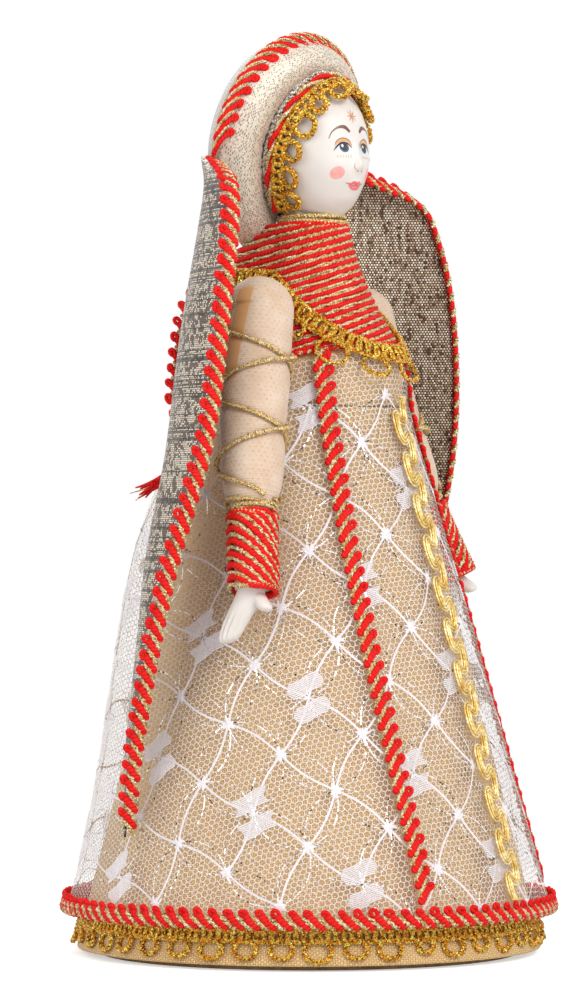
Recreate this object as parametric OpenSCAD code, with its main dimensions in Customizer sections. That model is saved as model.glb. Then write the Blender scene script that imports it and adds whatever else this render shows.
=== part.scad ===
// Dressed porcelain doll on a card cone, in folk costume: round padded headdress, stiff lame
// wing panels, lace overskirt, cord-wound yoke and cuffs, and cloth arms that swing on wire pins.
// Millimetres. The doll faces -Y, +Z is up, and the origin is the centre of its foot.

/* [Stand] */
// Radius of the base board that the doll stands on
base_r = 58; // [50:1:60]
// Thickness of the base board
base_t = 1.5; // [1:0.1:3]
// Outer radius of the card cone at its foot
cone_foot_r = 63.5; // [62:0.5:65]
// Outer radius of the card cone at the waist
cone_waist_r = 26; // [25:0.25:26.5]
// Height of the card cone
cone_h = 148; // [144:1:150]
// Thickness of the card
card_t = 1.2; // [0.8:0.1:2]
// Diameter of the stick that carries the head
stick_d = 4.2; // [3.6:0.1:4.6]
// Diameter of the turned foot that holds the stick
stick_foot_d = 22; // [14:1:40]
// Height of the turned foot and of the plug at the waist
plug_h = 6; // [4:0.5:10]

/* [Skirt cloth] */
// Thickness of the underskirt cloth
cloth_t = 0.6; // [0.4:0.1:0.8]
// Width of the underskirt hem that is turned under the cone
hem_turn = 7; // [5.8:0.2:10]
// Thickness of the lace overskirt
lace_t = 0.5; // [0.3:0.1:0.7]
// Height of the lace edge above the table
lace_hem_z = 12; // [11.6:0.2:16]
// How far the lace stands off the underskirt at its hem
lace_hem_off = 4.9; // [4.4:0.1:8]
// Height of the lace above the table at the sides of the bodice
lace_top_z = 161; // [159:0.5:161.5]
// Number of soft folds round the lace
lace_folds = 14; // [8:1:18]
// Depth of the lace folds
fold_depth = 0.8; // [0.2:0.1:1]
// How far the gathered lace stands off the cone at the back
back_fullness = 12; // [6:0.5:13]

/* [Trims] */
// Width of the red and gold braid
braid_w = 5; // [4:0.2:6]
// Thickness of the red and gold braid
braid_t = 1.8; // [1.2:0.1:2.2]
// Height of the gold scalloped lace round the foot
foot_lace_h = 8.6; // [6:0.2:9]
// Thickness of the gold scalloped laces
gold_lace_t = 1.4; // [1:0.1:1.6]
// Width of the gold gimp cord on the front of the skirt
gimp_w = 3.4; // [2.4:0.2:4]
// Sideways swing of the gimp scroll
gimp_swing = 1.8; // [1:0.1:2.4]
// Number of scrolls in the gimp
gimp_scrolls = 10; // [6:1:12]

/* [Bodice] */
// Half width of the bust
bust_x = 23.4; // [22.4:0.2:24]
// How far the bust stands forward of the stick
bust_front = 26.2; // [24:0.2:27]
// Half width of the body at the shoulder pins
shoulder_half = 19.5; // [17:0.25:19.75]
// Height of the shoulder pins
shoulder_z = 176; // [174:0.5:177]
// How far the right shoulder pin sits in front of the stick
shoulder_front = 5.5; // [4:0.25:6]
// How far the left shoulder pin sits behind the stick
shoulder_back = 3.5; // [2:0.25:4.5]
// Height of the top of the bodice
neck_z = 201; // [200:0.25:201.5]
// Radius of the bodice at the neck
collar_r = 9.2; // [8.8:0.1:10]
// Diameter of the cord wound round neck and chest
cord_d = 2.2; // [1.6:0.1:2.25]
// Turns of cord round neck and chest
yoke_turns = 13; // [8:1:13]
// Rise of the cord rows to the front, in degrees
yoke_tilt = 13; // [4:1:14]

/* [Head] */
// Half width of the head
head_x = 13.6; // [12.6:0.2:14]
// Half depth of the head
head_y = 15; // [13.5:0.25:15.5]
// Half height of the head
head_h = 19.5; // [17.5:0.25:19.75]
// Height of the middle of the head
head_z = 221.5; // [221.25:0.25:224]
// How far the head sits in front of the stick
head_forward = 2.8; // [2:0.1:3]
// Turn of the head towards its right shoulder, in degrees
head_turn = 13; // [0:1:16]
// Diameter of the porcelain neck
neck_d = 14.6; // [12:0.2:15]
// Half width of the headdress
dress_x = 27; // [25:0.5:28]
// How far the headdress is set towards the right
dress_aside = 2; // [0:0.25:3]
// Height of the headdress above the middle of the head
dress_top = 29.5; // [28.5:0.5:33]
// Depth of the headdress below the middle of the head
dress_low = 22; // [18:0.5:22]
// How far the headdress board sits behind the middle of the head
dress_back = 9.8; // [9.4:0.2:11]
// Forward lean of the headdress, in degrees
dress_lean = 15; // [11:0.5:16]
// Turn of the headdress towards the right shoulder, in degrees
dress_turn = 9; // [0:1:12]
// Diameter of the cords round the head
head_cord_d = 2; // [1.6:0.1:2.2]

/* [Wings] */
// Greatest half width of the wing panels
wing_spread = 66.5; // [63:0.5:67]
// Greatest width of a wing panel
wing_w = 40.5; // [34:0.5:41]
// How far the wing edges come forward
wing_forward = 10.4; // [7:0.2:12]
// Height of the wing tips above the table
wing_tip_z = 34; // [28:1:44]
// Thickness of the stiffened wing cloth
wing_t = 0.8; // [0.6:0.1:1]
// Outward crown of the wing panels
wing_crown = 4; // [2:0.5:6]

/* [Arms] */
// Distance of the arm pivot from the middle plane
arm_pivot_x = 33; // [33:0.25:34]
// Length of the arm from its pivot to the wrist
arm_len = 78; // [75:1:81]
// Gap between the hanging cuff and the lace
arm_clear = 1.1; // [0.8:0.1:3]
// Forward lean of the hanging arm, in degrees
arm_forward = 3; // [1:0.5:4]
// Bend of the right elbow, in degrees
right_bend = 8; // [0:1:10]
// Bend of the left elbow, in degrees
left_bend = 18; // [0:1:20]
// Radius of the padded upper sleeve
sleeve_r = 9.2; // [8.2:0.1:9.3]
// Radius of the sleeve under the cuff
wrist_r = 5.2; // [4.8:0.1:5.6]
// Length of the cord-wound cuff
cuff_len = 22; // [18:0.5:26]
// Turns of cord in each cuff
cuff_turns = 6; // [4:1:6]
// Diameter of the gold cord laced round the sleeve
lacing_d = 1.4; // [1:0.1:1.6]
// Turns of the lacing down the sleeve, and again back up
lacing_turns = 2; // [1:1:3]
// Diameter of the wire in the arms and of the shoulder pins
wire_d = 1.6; // [1.2:0.1:2]
// Length of the hand from wrist to fingertips
hand_len = 15.5; // [14:0.5:18]

/* [Hidden] */
$fn = 96;

// Clearances: pieces glued or sewn together, running fits, and soft pieces that pass each other
seat_gap = 0.05;
run_gap = 0.05;
soft_gap = 0.35;

// Heights and places that follow from the sizes above
cone_z = base_t + cloth_t;
waist_z = cone_z + cone_h;
stick_r = stick_d / 2;
wire_r = wire_d / 2;
function pin_y(side) = side < 0 ? -shoulder_front : shoulder_back;
pin_in = 5;
neck_foot_z = shoulder_z + wire_r + 3;
neck_socket = 12;
eye_r = wire_r + 1.2;
eye_w = 4;
stop_w = 1;
front = -90;

// Cone radius at height z
function cone_r(z) = cone_foot_r + (cone_waist_r - cone_foot_r) * (z - cone_z) / cone_h;

// Small vector and curve tools
function unit(v) = v / norm(v);
function mix(a, b, t) = a + (b - a) * t;
function polar(a, r, z) = [r * cos(a), r * sin(a), z];
function ellipse_r(a, x, y) = 1 / sqrt(pow(cos(a) / x, 2) + pow(sin(a) / y, 2));
function sum(v, i = 0) = i < len(v) ? v[i] + sum(v, i + 1) : 0;

// Smooth curve through rows of keys: row[0] is the position, row[c] the value
function key_at(x, keys, i = 0) = i >= len(keys) - 2 || x < keys[i + 1][0] ? i : key_at(x, keys, i + 1);
function key_slope(keys, i, c) =
    let (a = max(i - 1, 0), b = min(i + 1, len(keys) - 1))
    (keys[b][c] - keys[a][c]) / (keys[b][0] - keys[a][0]);
function curve(x, keys, c) =
    let (i = key_at(x, keys), h = keys[i + 1][0] - keys[i][0], t = (x - keys[i][0]) / h)
    let (t2 = t * t, t3 = t2 * t)
    keys[i][c] * (2 * t3 - 3 * t2 + 1) + key_slope(keys, i, c) * h * (t3 - 2 * t2 + t)
    + keys[i + 1][c] * (3 * t2 - 2 * t3) + key_slope(keys, i + 1, c) * h * (t3 - t2);

// Rings along a path: n is the side that the profile's first axis points to
function tangent(path, i) = unit(path[min(i + 1, len(path) - 1)] - path[max(i - 1, 0)]);
function ring(p, t, n, profile) =
    let (u = unit(n - t * (n * t)), v = cross(t, u))
    [for (q = profile) p + q[0] * u + q[1] * v];
function sweep_rings(path, normals, profile) =
    [for (i = [0 : len(path) - 1]) ring(path[i], tangent(path, i), normals[i], profile)];
function round_profile(r, sides) = [for (i = [0 : sides - 1]) polar(360 * i / sides, r, 0)];
function strip_profile(t, w) =
    [[t / 2, -w / 4], [t / 2, w / 4], [0, w / 2], [-t / 2, w / 4], [-t / 2, -w / 4], [0, -w / 2]];

// Straight ends, one diameter long, for a wound cord
function with_ends(path, d) = concat(
    [path[0] - d * tangent(path, 0)], path, [path[len(path) - 1] + d * tangent(path, len(path) - 1)]);
function repeat_ends(list) = concat([list[0]], list, [list[len(list) - 1]]);

// Least gap of a wound cord to itself, between points at least skip steps apart
function least_gap(path, d, skip) = min([
    for (i = [0 : len(path) - 1 - skip]) min([
        for (j = [i + skip : len(path) - 1]) norm(path[i] - path[j])])]) - d;

// Closed solid through rings of points, anticlockwise seen from the last ring's end
module loft(rings) {
    n = len(rings[0]);
    m = len(rings);
    sides = [
        for (i = [0 : m - 2]) for (j = [0 : n - 1])
            let (a = i * n + j, b = i * n + (j + 1) % n)
            each [[a, a + n, b + n], [a, b + n, b]]];
    low = [for (j = [0 : n - 1]) j];
    high = [for (j = [0 : n - 1]) m * n - 1 - j];
    polyhedron([for (r = rings) each r], concat(sides, [low, high]), convexity = 8);
}

module cord(path, normals, d, sides = 6) {
    loft(sweep_rings(path, normals, round_profile(d / 2, sides)));
}

// Stand: board, card cone, stick and the two turned pieces that hold the stick
module base_board() {
    color("tan") cylinder(r = base_r, h = base_t);
}

module skirt_cone() {
    color("burlywood") rotate_extrude() polygon([
        [cone_foot_r - card_t, cone_z], [cone_foot_r, cone_z],
        [cone_waist_r, waist_z], [cone_waist_r - card_t, waist_z]]);
}

module stick_foot() {
    color("peru") translate([0, 0, base_t]) difference() {
        cylinder(d = stick_foot_d, h = plug_h);
        translate([0, 0, -1]) cylinder(r = stick_r + seat_gap, h = plug_h + 2);
    }
}

module waist_plug() {
    low = waist_z - plug_h;
    inset = card_t + seat_gap;
    color("peru") rotate_extrude() polygon([
        [stick_r + seat_gap, low], [cone_r(low) - inset, low],
        [cone_r(waist_z) - inset, waist_z], [stick_r + seat_gap, waist_z]]);
}

module core_stick() {
    color("sandybrown") translate([0, 0, base_t])
        cylinder(r = stick_r, h = neck_foot_z + neck_socket - seat_gap - base_t);
}

// Skirt cloth: satin over the cone with its hem turned under, and gathered lace over that
module underskirt() {
    color("navajowhite") rotate_extrude() polygon([
        [cone_foot_r - hem_turn, base_t], [cone_foot_r + cloth_t, base_t],
        [cone_waist_r + cloth_t, waist_z], [cone_waist_r + seat_gap, waist_z],
        [cone_foot_r + seat_gap, cone_z], [cone_foot_r - hem_turn, cone_z]]);
}

// Bodice outline: height, half width, reach to the front and reach to the back
bust_z = waist_z + 10;
chest_z = mix(bust_z, shoulder_z, 0.5);
slope_z = mix(shoulder_z, neck_z, 0.55);
torso = [
    [waist_z, cone_waist_r, cone_waist_r, cone_waist_r],
    [bust_z, bust_x, bust_front, bust_x],
    [chest_z, mix(bust_x, shoulder_half, 0.5), bust_front - 3, bust_x - 2],
    [shoulder_z, shoulder_half, shoulder_half - 1.7, shoulder_half],
    [slope_z, mix(shoulder_half, collar_r, 0.55), mix(shoulder_half, collar_r, 0.78),
     mix(shoulder_half, collar_r, 0.25)],
    [neck_z, collar_r, collar_r, collar_r + 1.2]];
function torso_r(a, z) = ellipse_r(a, curve(z, torso, 1), curve(z, torso, sin(a) < 0 ? 2 : 3));

// Lace: its inner radius at angle a and height z. It lies on the bodice above the waist, runs
// straight to the hem below it, and stands off at the back where it is gathered.
lace_lie = cloth_t + soft_gap;
lace_hem_r = cone_r(lace_hem_z) + cloth_t + lace_hem_off;
lace_rise = 5;
function lace_top(a) = lace_top_z - lace_rise * sin(a);
function lace_run(a, z) = (z - lace_hem_z) / (lace_top(a) - lace_hem_z);
function lace_line(a, z) = z > waist_z
    ? torso_r(a, z) + lace_lie
    : mix(lace_hem_r, cone_waist_r + lace_lie, (z - lace_hem_z) / (waist_z - lace_hem_z));
function lace_gather(a, z) =
    back_fullness * pow((1 + sin(a)) / 2, 3) * sin(180 * pow(min(1, max(0, lace_run(a, z))), 1.9));
function lace_fold(a, z) =
    fold_depth * (1 + cos(lace_folds * a)) / 2 * sin(180 * min(1, max(0, lace_run(a, z))));
function lace_r(a, z) = lace_line(a, z) + lace_gather(a, z) + lace_fold(a, z);
// Radius that clears the lace with its folds at full depth
function over_lace(a, z) = lace_line(a, z) + lace_gather(a, z) + fold_depth + lace_t;

lace_sides = 4 * lace_folds;
lace_rows = 7;
module lace_overskirt() {
    function lace_ring(t, out) = [for (i = [0 : lace_sides - 1])
        let (a = 360 * i / lace_sides, z = mix(lace_hem_z, lace_top(a), t)) polar(a, lace_r(a, z) + out, z)];
    outer = [for (k = [0 : lace_rows]) lace_ring(k / lace_rows, lace_t)];
    inner = [for (k = [0 : lace_rows]) lace_ring(k / lace_rows, 0)];
    n = lace_sides;
    m = 2 * (lace_rows + 1);
    points = [for (r = concat(outer, [for (k = [lace_rows : -1 : 0]) inner[k]])) each r];
    color("white", 0.5) polyhedron(points, [
        for (i = [0 : m - 1]) for (j = [0 : n - 1])
            let (a = i * n + j, b = i * n + (j + 1) % n, c = (i + 1) % m * n + j, d = (i + 1) % m * n + (j + 1) % n)
            each [[a, c, d], [a, d, b]]], convexity = 8);
}

hem_braid_r = lace_hem_r + lace_t + seat_gap;
module hem_braid() {
    h = braid_w / 2;
    color("red") translate([0, 0, lace_hem_z + h - 0.6]) rotate_extrude() polygon([
        [hem_braid_r, -h], [hem_braid_r + braid_t * 0.7, -h], [hem_braid_r + braid_t, -h / 2],
        [hem_braid_r + braid_t, h / 2], [hem_braid_r + braid_t * 0.7, h], [hem_braid_r, h]]);
}

module foot_lace() {
    low = base_t + 0.8;
    high = low + foot_lace_h;
    function r(z) = cone_r(z) + cloth_t + 2 * seat_gap;
    color("goldenrod") rotate_extrude() polygon([
        [r(low), low], [r(low) + gold_lace_t, low], [r(high) + gold_lace_t, high], [r(high), high]]);
}

// Strips that lie on the lace: angle off the front at the bodice and at the hem
strip_low_z = lace_hem_z + braid_w;
strip_steps = 14;
module skirt_strip(top_off, hem_off, top_z, t, w, steps, swing = 0, waves = 0) {
    path = [for (i = [0 : steps])
        let (s = i / steps, z = mix(strip_low_z, top_z, s), a = front + mix(hem_off, top_off, s))
        let (r = over_lace(a, z) + soft_gap + t / 2)
        polar(a + swing * sin(360 * waves * s) / r * 180 / PI, r, z)];
    normals = [for (p = path) [p.x, p.y, 0]];
    loft(sweep_rings(path, normals, strip_profile(t, w)));
}

// The strips end under the collar
collar_side_z = shoulder_z + sleeve_r + 2;
collar_drop = 20.2;
collar_back_rise = 2;
front_braid_top = 46;
right_braid_hem = 29;
left_braid_hem = 45;
front_braid_z = lace_top_z - 2.5;
gimp_z = collar_top(front) - collar_width(front) - 1.8;
module right_front_braid() {
    color("red")
        skirt_strip(-front_braid_top, -right_braid_hem, front_braid_z, braid_t, braid_w, strip_steps);
}
module left_front_braid() {
    color("red")
        skirt_strip(front_braid_top, left_braid_hem, front_braid_z, braid_t, braid_w, strip_steps);
}
module front_gimp() {
    color("gold") skirt_strip(0, 0, gimp_z, gold_lace_t, gimp_w, 6 * gimp_scrolls,
        gimp_swing, gimp_scrolls);
}

// Bodice: padded form on the stick, with a socket for the neck and holes for stick and pins
bodice_sides = 36;
bodice_rows = 12;
module bodice() {
    color("wheat") difference() {
        loft([for (k = [0 : bodice_rows])
            let (z = mix(waist_z + seat_gap, neck_z, k / bodice_rows))
            [for (i = [0 : bodice_sides - 1])
                let (a = 360 * i / bodice_sides) polar(a, torso_r(a, z), z)]]);
        translate([0, 0, waist_z - 1]) cylinder(r = stick_r + seat_gap, h = neck_z - waist_z + 2);
        translate([0, 0, neck_foot_z - seat_gap]) cylinder(d = neck_d + 2 * seat_gap, h = neck_z);
        for (side = [-1, 1]) at_pin(side) translate([0, 0, pin_in - seat_gap])
            cylinder(r = wire_r + seat_gap, h = 2 * shoulder_half);
    }
}

// Frame whose Z runs out along a shoulder pin
module at_pin(side) {
    translate([0, pin_y(side), shoulder_z]) rotate([0, side * 90, 0]) children();
}

// Cord wound from the neck down over the chest, in rows that rise to the front
yoke_steps = 18;
yoke_high = neck_z - 2.5;
yoke_low = lace_top_z + 2.3;
yoke_rise = tan(yoke_tilt);
function row_z(a, zc) =
    let (z1 = zc - torso_r(a, zc) * sin(a) * yoke_rise)
    zc - torso_r(a, min(z1, neck_z)) * sin(a) * yoke_rise;
function yoke_point(i) =
    let (a = 90 + 360 * i / yoke_steps, zc = mix(yoke_high, yoke_low, i / (yoke_steps * yoke_turns)))
    let (z = min(row_z(a, zc), neck_z - cord_d / 4))
    polar(a, torso_r(a, z) + cord_d / 2 + soft_gap + 0.2, z);
yoke_path = [for (i = [0 : yoke_steps * yoke_turns]) yoke_point(i)];
echo(yoke_cord_least_gap = least_gap(yoke_path, cord_d, floor(yoke_steps / 2)));
// Stitched eyelet in the wound cord where a shoulder pin comes out
eyelet_r = torso_r(180, shoulder_z) + cord_d / 2 + soft_gap;
eyelet_low = wire_r + 0.2;
eyelet_high = wire_r + 1.6;
module eyelet(side) {
    sides = 16;
    n = 4;
    lift = asin(pin_y(side) / eyelet_r);
    mid = side < 0 ? 180 - lift : lift;
    function at(f, r, out) =
        let (a = mid + r * cos(f) / eyelet_r * 180 / PI, z = shoulder_z + r * sin(f))
        polar(a, torso_r(a, z) + soft_gap + out, z);
    points = [for (i = [0 : sides - 1]) let (f = 360 * i / sides) each [
        at(f, eyelet_low, 0), at(f, eyelet_low, cord_d), at(f, eyelet_high, cord_d), at(f, eyelet_high, 0)]];
    polyhedron(points, [
        for (i = [0 : sides - 1]) for (j = [0 : n - 1])
            let (k = (i + 1) % sides * n, a = i * n + j, b = i * n + (j + 1) % n,
                 c = k + j, d = k + (j + 1) % n)
            each [[a, d, b], [a, c, d]]], convexity = 6);
}
module pin_holes(low = 0) {
    for (side = [-1, 1]) hull() for (drop = [0, low]) translate([0, 0, -drop]) at_pin(side)
        translate([0, 0, pin_in]) cylinder(r = wire_r + 2 * seat_gap, h = 2 * shoulder_half, $fn = 24);
}
module yoke_cord() {
    path = with_ends(yoke_path, cord_d);
    color("crimson") difference() {
        union() {
            cord(path, [for (p = path) [p.x, p.y, 0]], cord_d);
            eyelet(-1);
            eyelet(1);
        }
        pin_holes();
    }
}

// Gold scalloped collar over the lower rows of cord, low on the chest and high at the nape
collar_sides = 40;
function collar_top(a) = collar_side_z + (sin(a) < 0 ? collar_drop : collar_back_rise) * sin(a);
function collar_width(a) = 7.2 - 6.3 * min(0, sin(a));
function collar_r_at(a, z) = torso_r(a, z) + cord_d + 2 * soft_gap + 0.2;
module collar_lace() {
    function section(a) = let (hi = collar_top(a), lo = hi - collar_width(a)) [
        polar(a, collar_r_at(a, lo), lo), polar(a, collar_r_at(a, lo) + gold_lace_t, lo),
        polar(a, collar_r_at(a, mix(lo, hi, 0.5)) + gold_lace_t, mix(lo, hi, 0.5)),
        polar(a, collar_r_at(a, hi) + gold_lace_t, hi), polar(a, collar_r_at(a, hi), hi),
        polar(a, collar_r_at(a, mix(lo, hi, 0.5)), mix(lo, hi, 0.5))];
    n = 6;
    points = [for (i = [0 : collar_sides - 1]) each section(360 * i / collar_sides)];
    color("goldenrod") difference() {
        polyhedron(points, [
            for (i = [0 : collar_sides - 1]) for (j = [0 : n - 1])
                let (k = (i + 1) % collar_sides * n, a = i * n + j, b = i * n + (j + 1) % n,
                     c = k + j, d = k + (j + 1) % n)
                each [[a, b, d], [a, d, c]]], convexity = 8);
        pin_holes(collar_width(0));
    }
}

neck_cord_d = 2;
module neck_cord() {
    color("gold") translate([0, 0, neck_z + neck_cord_d / 2 + seat_gap]) rotate_extrude()
        translate([neck_d / 2 + neck_cord_d / 2 + seat_gap, 0]) circle(d = neck_cord_d, $fn = 24);
}

// Wire pins set in the padding, each with a pressed head outside its arm's eye
wire_half = arm_pivot_x + eye_w / 2 + run_gap;
module shoulder_pins() {
    color("silver") for (side = [-1, 1]) at_pin(side) {
        translate([0, 0, pin_in]) cylinder(r = wire_r, h = wire_half - pin_in);
        translate([0, 0, wire_half]) cylinder(r = wire_r + 0.8, h = stop_w);
    }
}

// Head: places are given in the head's own frame, centred on the head and facing -Y
module at_head() {
    translate([0, -head_forward, head_z]) rotate([0, 0, -head_turn]) children();
}
// The crown frame leans forward over the head: cords and headdress are placed in it
module at_crown() {
    translate([0, -head_forward, head_z]) rotate([0, 0, -dress_turn]) rotate([dress_lean, 0, 0]) children();
}
function crown_to_body(p) =
    let (y = p.y * cos(dress_lean) - p.z * sin(dress_lean), z = p.y * sin(dress_lean) + p.z * cos(dress_lean))
    [p.x * cos(dress_turn) + y * sin(dress_turn),
     y * cos(dress_turn) - p.x * sin(dress_turn) - head_forward, z + head_z];

// Porcelain skin: an egg with a fuller brow, soft cheeks, a small nose, lips and chin
function bump(x, z, x0, z0, w, h) = exp(-pow((x - x0) / w, 2) - pow((z - z0) / h, 2));
function head_relief(x, z) =
    1.3 * bump(x, z, 0, -2.5, 1.8, 2.6) + 0.7 * bump(x, z, 0, -8, 2.6, 1.4)
    + 0.9 * bump(x, z, 0, -13.5, 4, 2.8) + 0.5 * (bump(x, z, 6, -5, 4, 4) + bump(x, z, -6, -5, 4, 4));
function head_point(a, e) =
    let (s = cos(e), narrow = 1 - 0.1 * pow(max(0, -sin(e)), 2))
    let (x = head_x * s * narrow * cos(a), y = head_y * s * sin(a), z = head_h * sin(e))
    [x, y - (sin(a) < 0 ? head_relief(x, z) * -sin(a) * s : 0), z];
head_sides = 44;
head_rows = 20;
module head() {
    neck_top = head_z - head_h * 0.6;
    color("white") difference() {
        union() {
            at_head() loft([for (k = [0 : head_rows])
                let (e = mix(-84, 84, k / head_rows))
                [for (i = [0 : head_sides - 1]) head_point(360 * i / head_sides, e)]]);
            translate([0, 0, neck_foot_z]) cylinder(d = neck_d, h = neck_top - neck_foot_z);
        }
        translate([0, 0, neck_foot_z - 1]) cylinder(r = stick_r + seat_gap, h = neck_socket + 1);
    }
}

// Arch round the head at depth y, lift above its skin, and angle a in the head's upright plane
function skin_share(y) = sqrt(1 - pow(y / head_y, 2));
function arch_point(a, y, lift) =
    let (s = skin_share(y)) [(head_x * s + lift) * cos(a), y, (head_h * s + lift) * sin(a)];
arch_low = -42;
arch_steps = 26;
function arch_angle(i) = mix(arch_low, 180 - arch_low, i / arch_steps);

// Gold lace that stands for the hair, from jaw to jaw over the brow
hair_front = -5.5;
hair_back = 1.4;
hair_lift = 1.4;
hair_t = 2.2;
module hair_lace() {
    mid = mix(hair_front, hair_back, 0.5);
    color("goldenrod") at_crown() loft([for (i = [0 : arch_steps]) let (a = arch_angle(i)) [
        arch_point(a, hair_back, hair_lift), arch_point(a, mid, hair_lift + 0.2),
        arch_point(a, hair_front, hair_lift),
        arch_point(a, hair_front, hair_lift + hair_t * 0.8), arch_point(a, mid, hair_lift + hair_t),
        arch_point(a, hair_back, hair_lift + hair_t * 0.8)]]);
}

// Two cords side by side behind the gold lace
head_cord_pitch = head_cord_d + 0.1;
head_cord_lift = hair_lift + head_cord_d / 2;
function head_cord_y(k) = hair_back + 0.1 + head_cord_d / 2 + k * head_cord_pitch;
module head_cords() {
    color("crimson") at_crown() for (k = [0, 1]) {
        path = [for (i = [0 : arch_steps]) arch_point(arch_angle(i), head_cord_y(k), head_cord_lift)];
        cord(path, [for (p = path) [p.x, 0, p.z]], head_cord_d);
    }
}

// Round padded headdress: card board open for the head, padded face, lining and edge braid
board_t = 1.2;
pad_inner_y = head_cord_y(1) + head_cord_d / 2 + soft_gap;
pad_lift = hair_lift + 2;
board_inner_x = head_x + 2.2;
board_inner_z = head_h + 2.2;
outline_steps = 48;
dress_end = -asin(dress_low / (dress_low + 2));
function dress_point(a, grow = 0) =
    [(dress_x + grow) * cos(a) - dress_aside, (sin(a) > 0 ? dress_top : dress_low + 2) * sin(a) + grow * sin(a)];
function dress_angle(i, n) = mix(dress_end, 180 - dress_end, i / n);
module headdress_board() {
    color("tan") at_crown() translate([0, dress_back + board_t, 0]) rotate([90, 0, 0])
        linear_extrude(board_t) difference() {
            polygon([for (i = [0 : outline_steps]) dress_point(dress_angle(i, outline_steps))]);
            polygon([for (i = [0 : outline_steps - 1])
                let (a = 360 * i / outline_steps) [board_inner_x * cos(a), board_inner_z * sin(a)]]);
            translate([0, -dress_low]) square([2 * neck_d, dress_low], center = true);
        }
}

// The pad is a crowned roll from the head out to the board's edge
pad_steps = 30;
pad_low = -60;
module headdress_pad() {
    function rim(a) = let (p = dress_point(a)) [p.x, dress_back - seat_gap, p.y];
    function inner(a, y) = let (s = skin_share(y)) [
        (head_x * s + pad_lift) * cos(a), y, (head_h * s + pad_lift) * sin(a)];
    function root(a) = [(board_inner_x + 0.4) * cos(a), dress_back - seat_gap, (board_inner_z + 0.4) * sin(a)];
    function face(a, t) = mix(inner(a, pad_inner_y), rim(a), t) + [0, -4.2 * sin(180 * t) * (1 - 0.35 * t), 0]
        + 1.6 * sin(180 * t) * [cos(a), 0, sin(a)];
    color("antiquewhite") at_crown() loft([for (i = [0 : pad_steps])
        let (a = mix(pad_low, 180 - pad_low, i / pad_steps)) [
            root(a), inner(a, pad_inner_y) + 0.5 * [cos(a), 0, sin(a)], face(a, 0.2), face(a, 0.45),
            face(a, 0.75), rim(a)]]);
}

// Lining: a cap over the back of the head, flat where it meets the board
lining_t = 0.9;
lining_bulge = 8.4;
lining_y = dress_back + board_t + seat_gap;
module headdress_lining() {
    steps = 30;
    shares = [1, 0.8, 0.55, 0.3, 0.08];
    function at(i, share, y) = let (p = dress_point(dress_angle(i, steps)) * share) [p.x, y, p.y];
    function dome(share) = lining_bulge * sqrt(1 - pow(share, 4));
    color("ghostwhite") at_crown() difference() {
        loft([for (s = shares) [for (i = [steps : -1 : 0]) at(i, s * 0.985, lining_y + lining_t + dome(s))],
            ]);
        loft([for (s = shares) [for (i = [steps : -1 : 0])
            at(i, s * 0.93, lining_y - 1 + (s < 1 ? 1 + dome(s) : 0))]]);
    }
}

module headdress_braid() {
    steps = 36;
    low = -4;
    r = braid_t;
    path = [for (i = [0 : steps])
        let (p = dress_point(mix(low, 180 - low, i / steps), r + seat_gap + 0.15)) [p.x, dress_back, p.y]];
    color("red") at_crown() cord(path, [for (p = path) [p.x, 0, p.z]], 2 * r);
}

// Wing panels: leaves that hang from the lower ends of the headdress to a tip on the skirt.
// The front edge is keyed by its share t of the way down. The leaf's width and the turn of its
// width, off the side, are keyed alike.
tip_angle = 17;
tip_gap = braid_w / 2 + soft_gap;
wing_top_z = head_z - 7;
function wing_z(t) = mix(wing_top_z, wing_tip_z, t);
function wing_tip(side) =
    let (r = over_lace(tip_angle, wing_tip_z) + tip_gap)
    [side * r * cos(tip_angle), r * sin(tip_angle), wing_tip_z];
function wing_top(side) =
    crown_to_body([side * (dress_x - 0.5) - dress_aside, lining_y + lining_t + wing_t / 2 + 2 * soft_gap, -6]);
function front_keys(side) = let (top = wing_top(side), tip = wing_tip(side)) [
    [0, top.x, top.y, top.z],
    [0.05, side * wing_spread * 0.7, -wing_forward * 0.35, wing_z(0.02)],
    [0.12, side * wing_spread * 0.79, -wing_forward * 0.83, wing_z(0.08)],
    [0.25, side * wing_spread * 0.889, -wing_forward, wing_z(0.215)],
    [0.45, side * wing_spread * 0.956, -wing_forward * 0.73, wing_z(0.415)],
    [0.65, side * wing_spread, wing_forward * 0.3, wing_z(0.625)],
    [0.85, side * mix(wing_spread, abs(tip.x), 0.55), mix(wing_forward * 0.3, tip.y, 0.72), wing_z(0.86)],
    [1, tip.x, tip.y, tip.z]];
leaf_keys = [
    [0, 0.1, 50], [0.05, 0.593, 48], [0.12, 0.889, 47], [0.25, 1, 48], [0.4, 0.963, 49], [0.57, 0.741, 48],
    [0.72, 0.444, 46], [0.86, 0.198, 46], [1, 0.04, 46]];
function leaf_width(t) = wing_w * curve(t, leaf_keys, 1);
function front_edge(side, t) =
    let (keys = front_keys(side)) [curve(t, keys, 1), curve(t, keys, 2), curve(t, keys, 3)];
function inward(side, t) = let (turn = curve(t, leaf_keys, 2)) [-side * cos(turn), sin(turn), 0];
function leaf_normal(side, t) = let (d = inward(side, t)) side * [d.y, -d.x, 0];
function leaf_point(side, t, across) =
    front_edge(side, t) + inward(side, t) * across
    + leaf_normal(side, t) * wing_crown * sin(180 * across / leaf_width(t)) * sin(180 * min(1, 0.15 + t));

wing_steps = 16;
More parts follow.
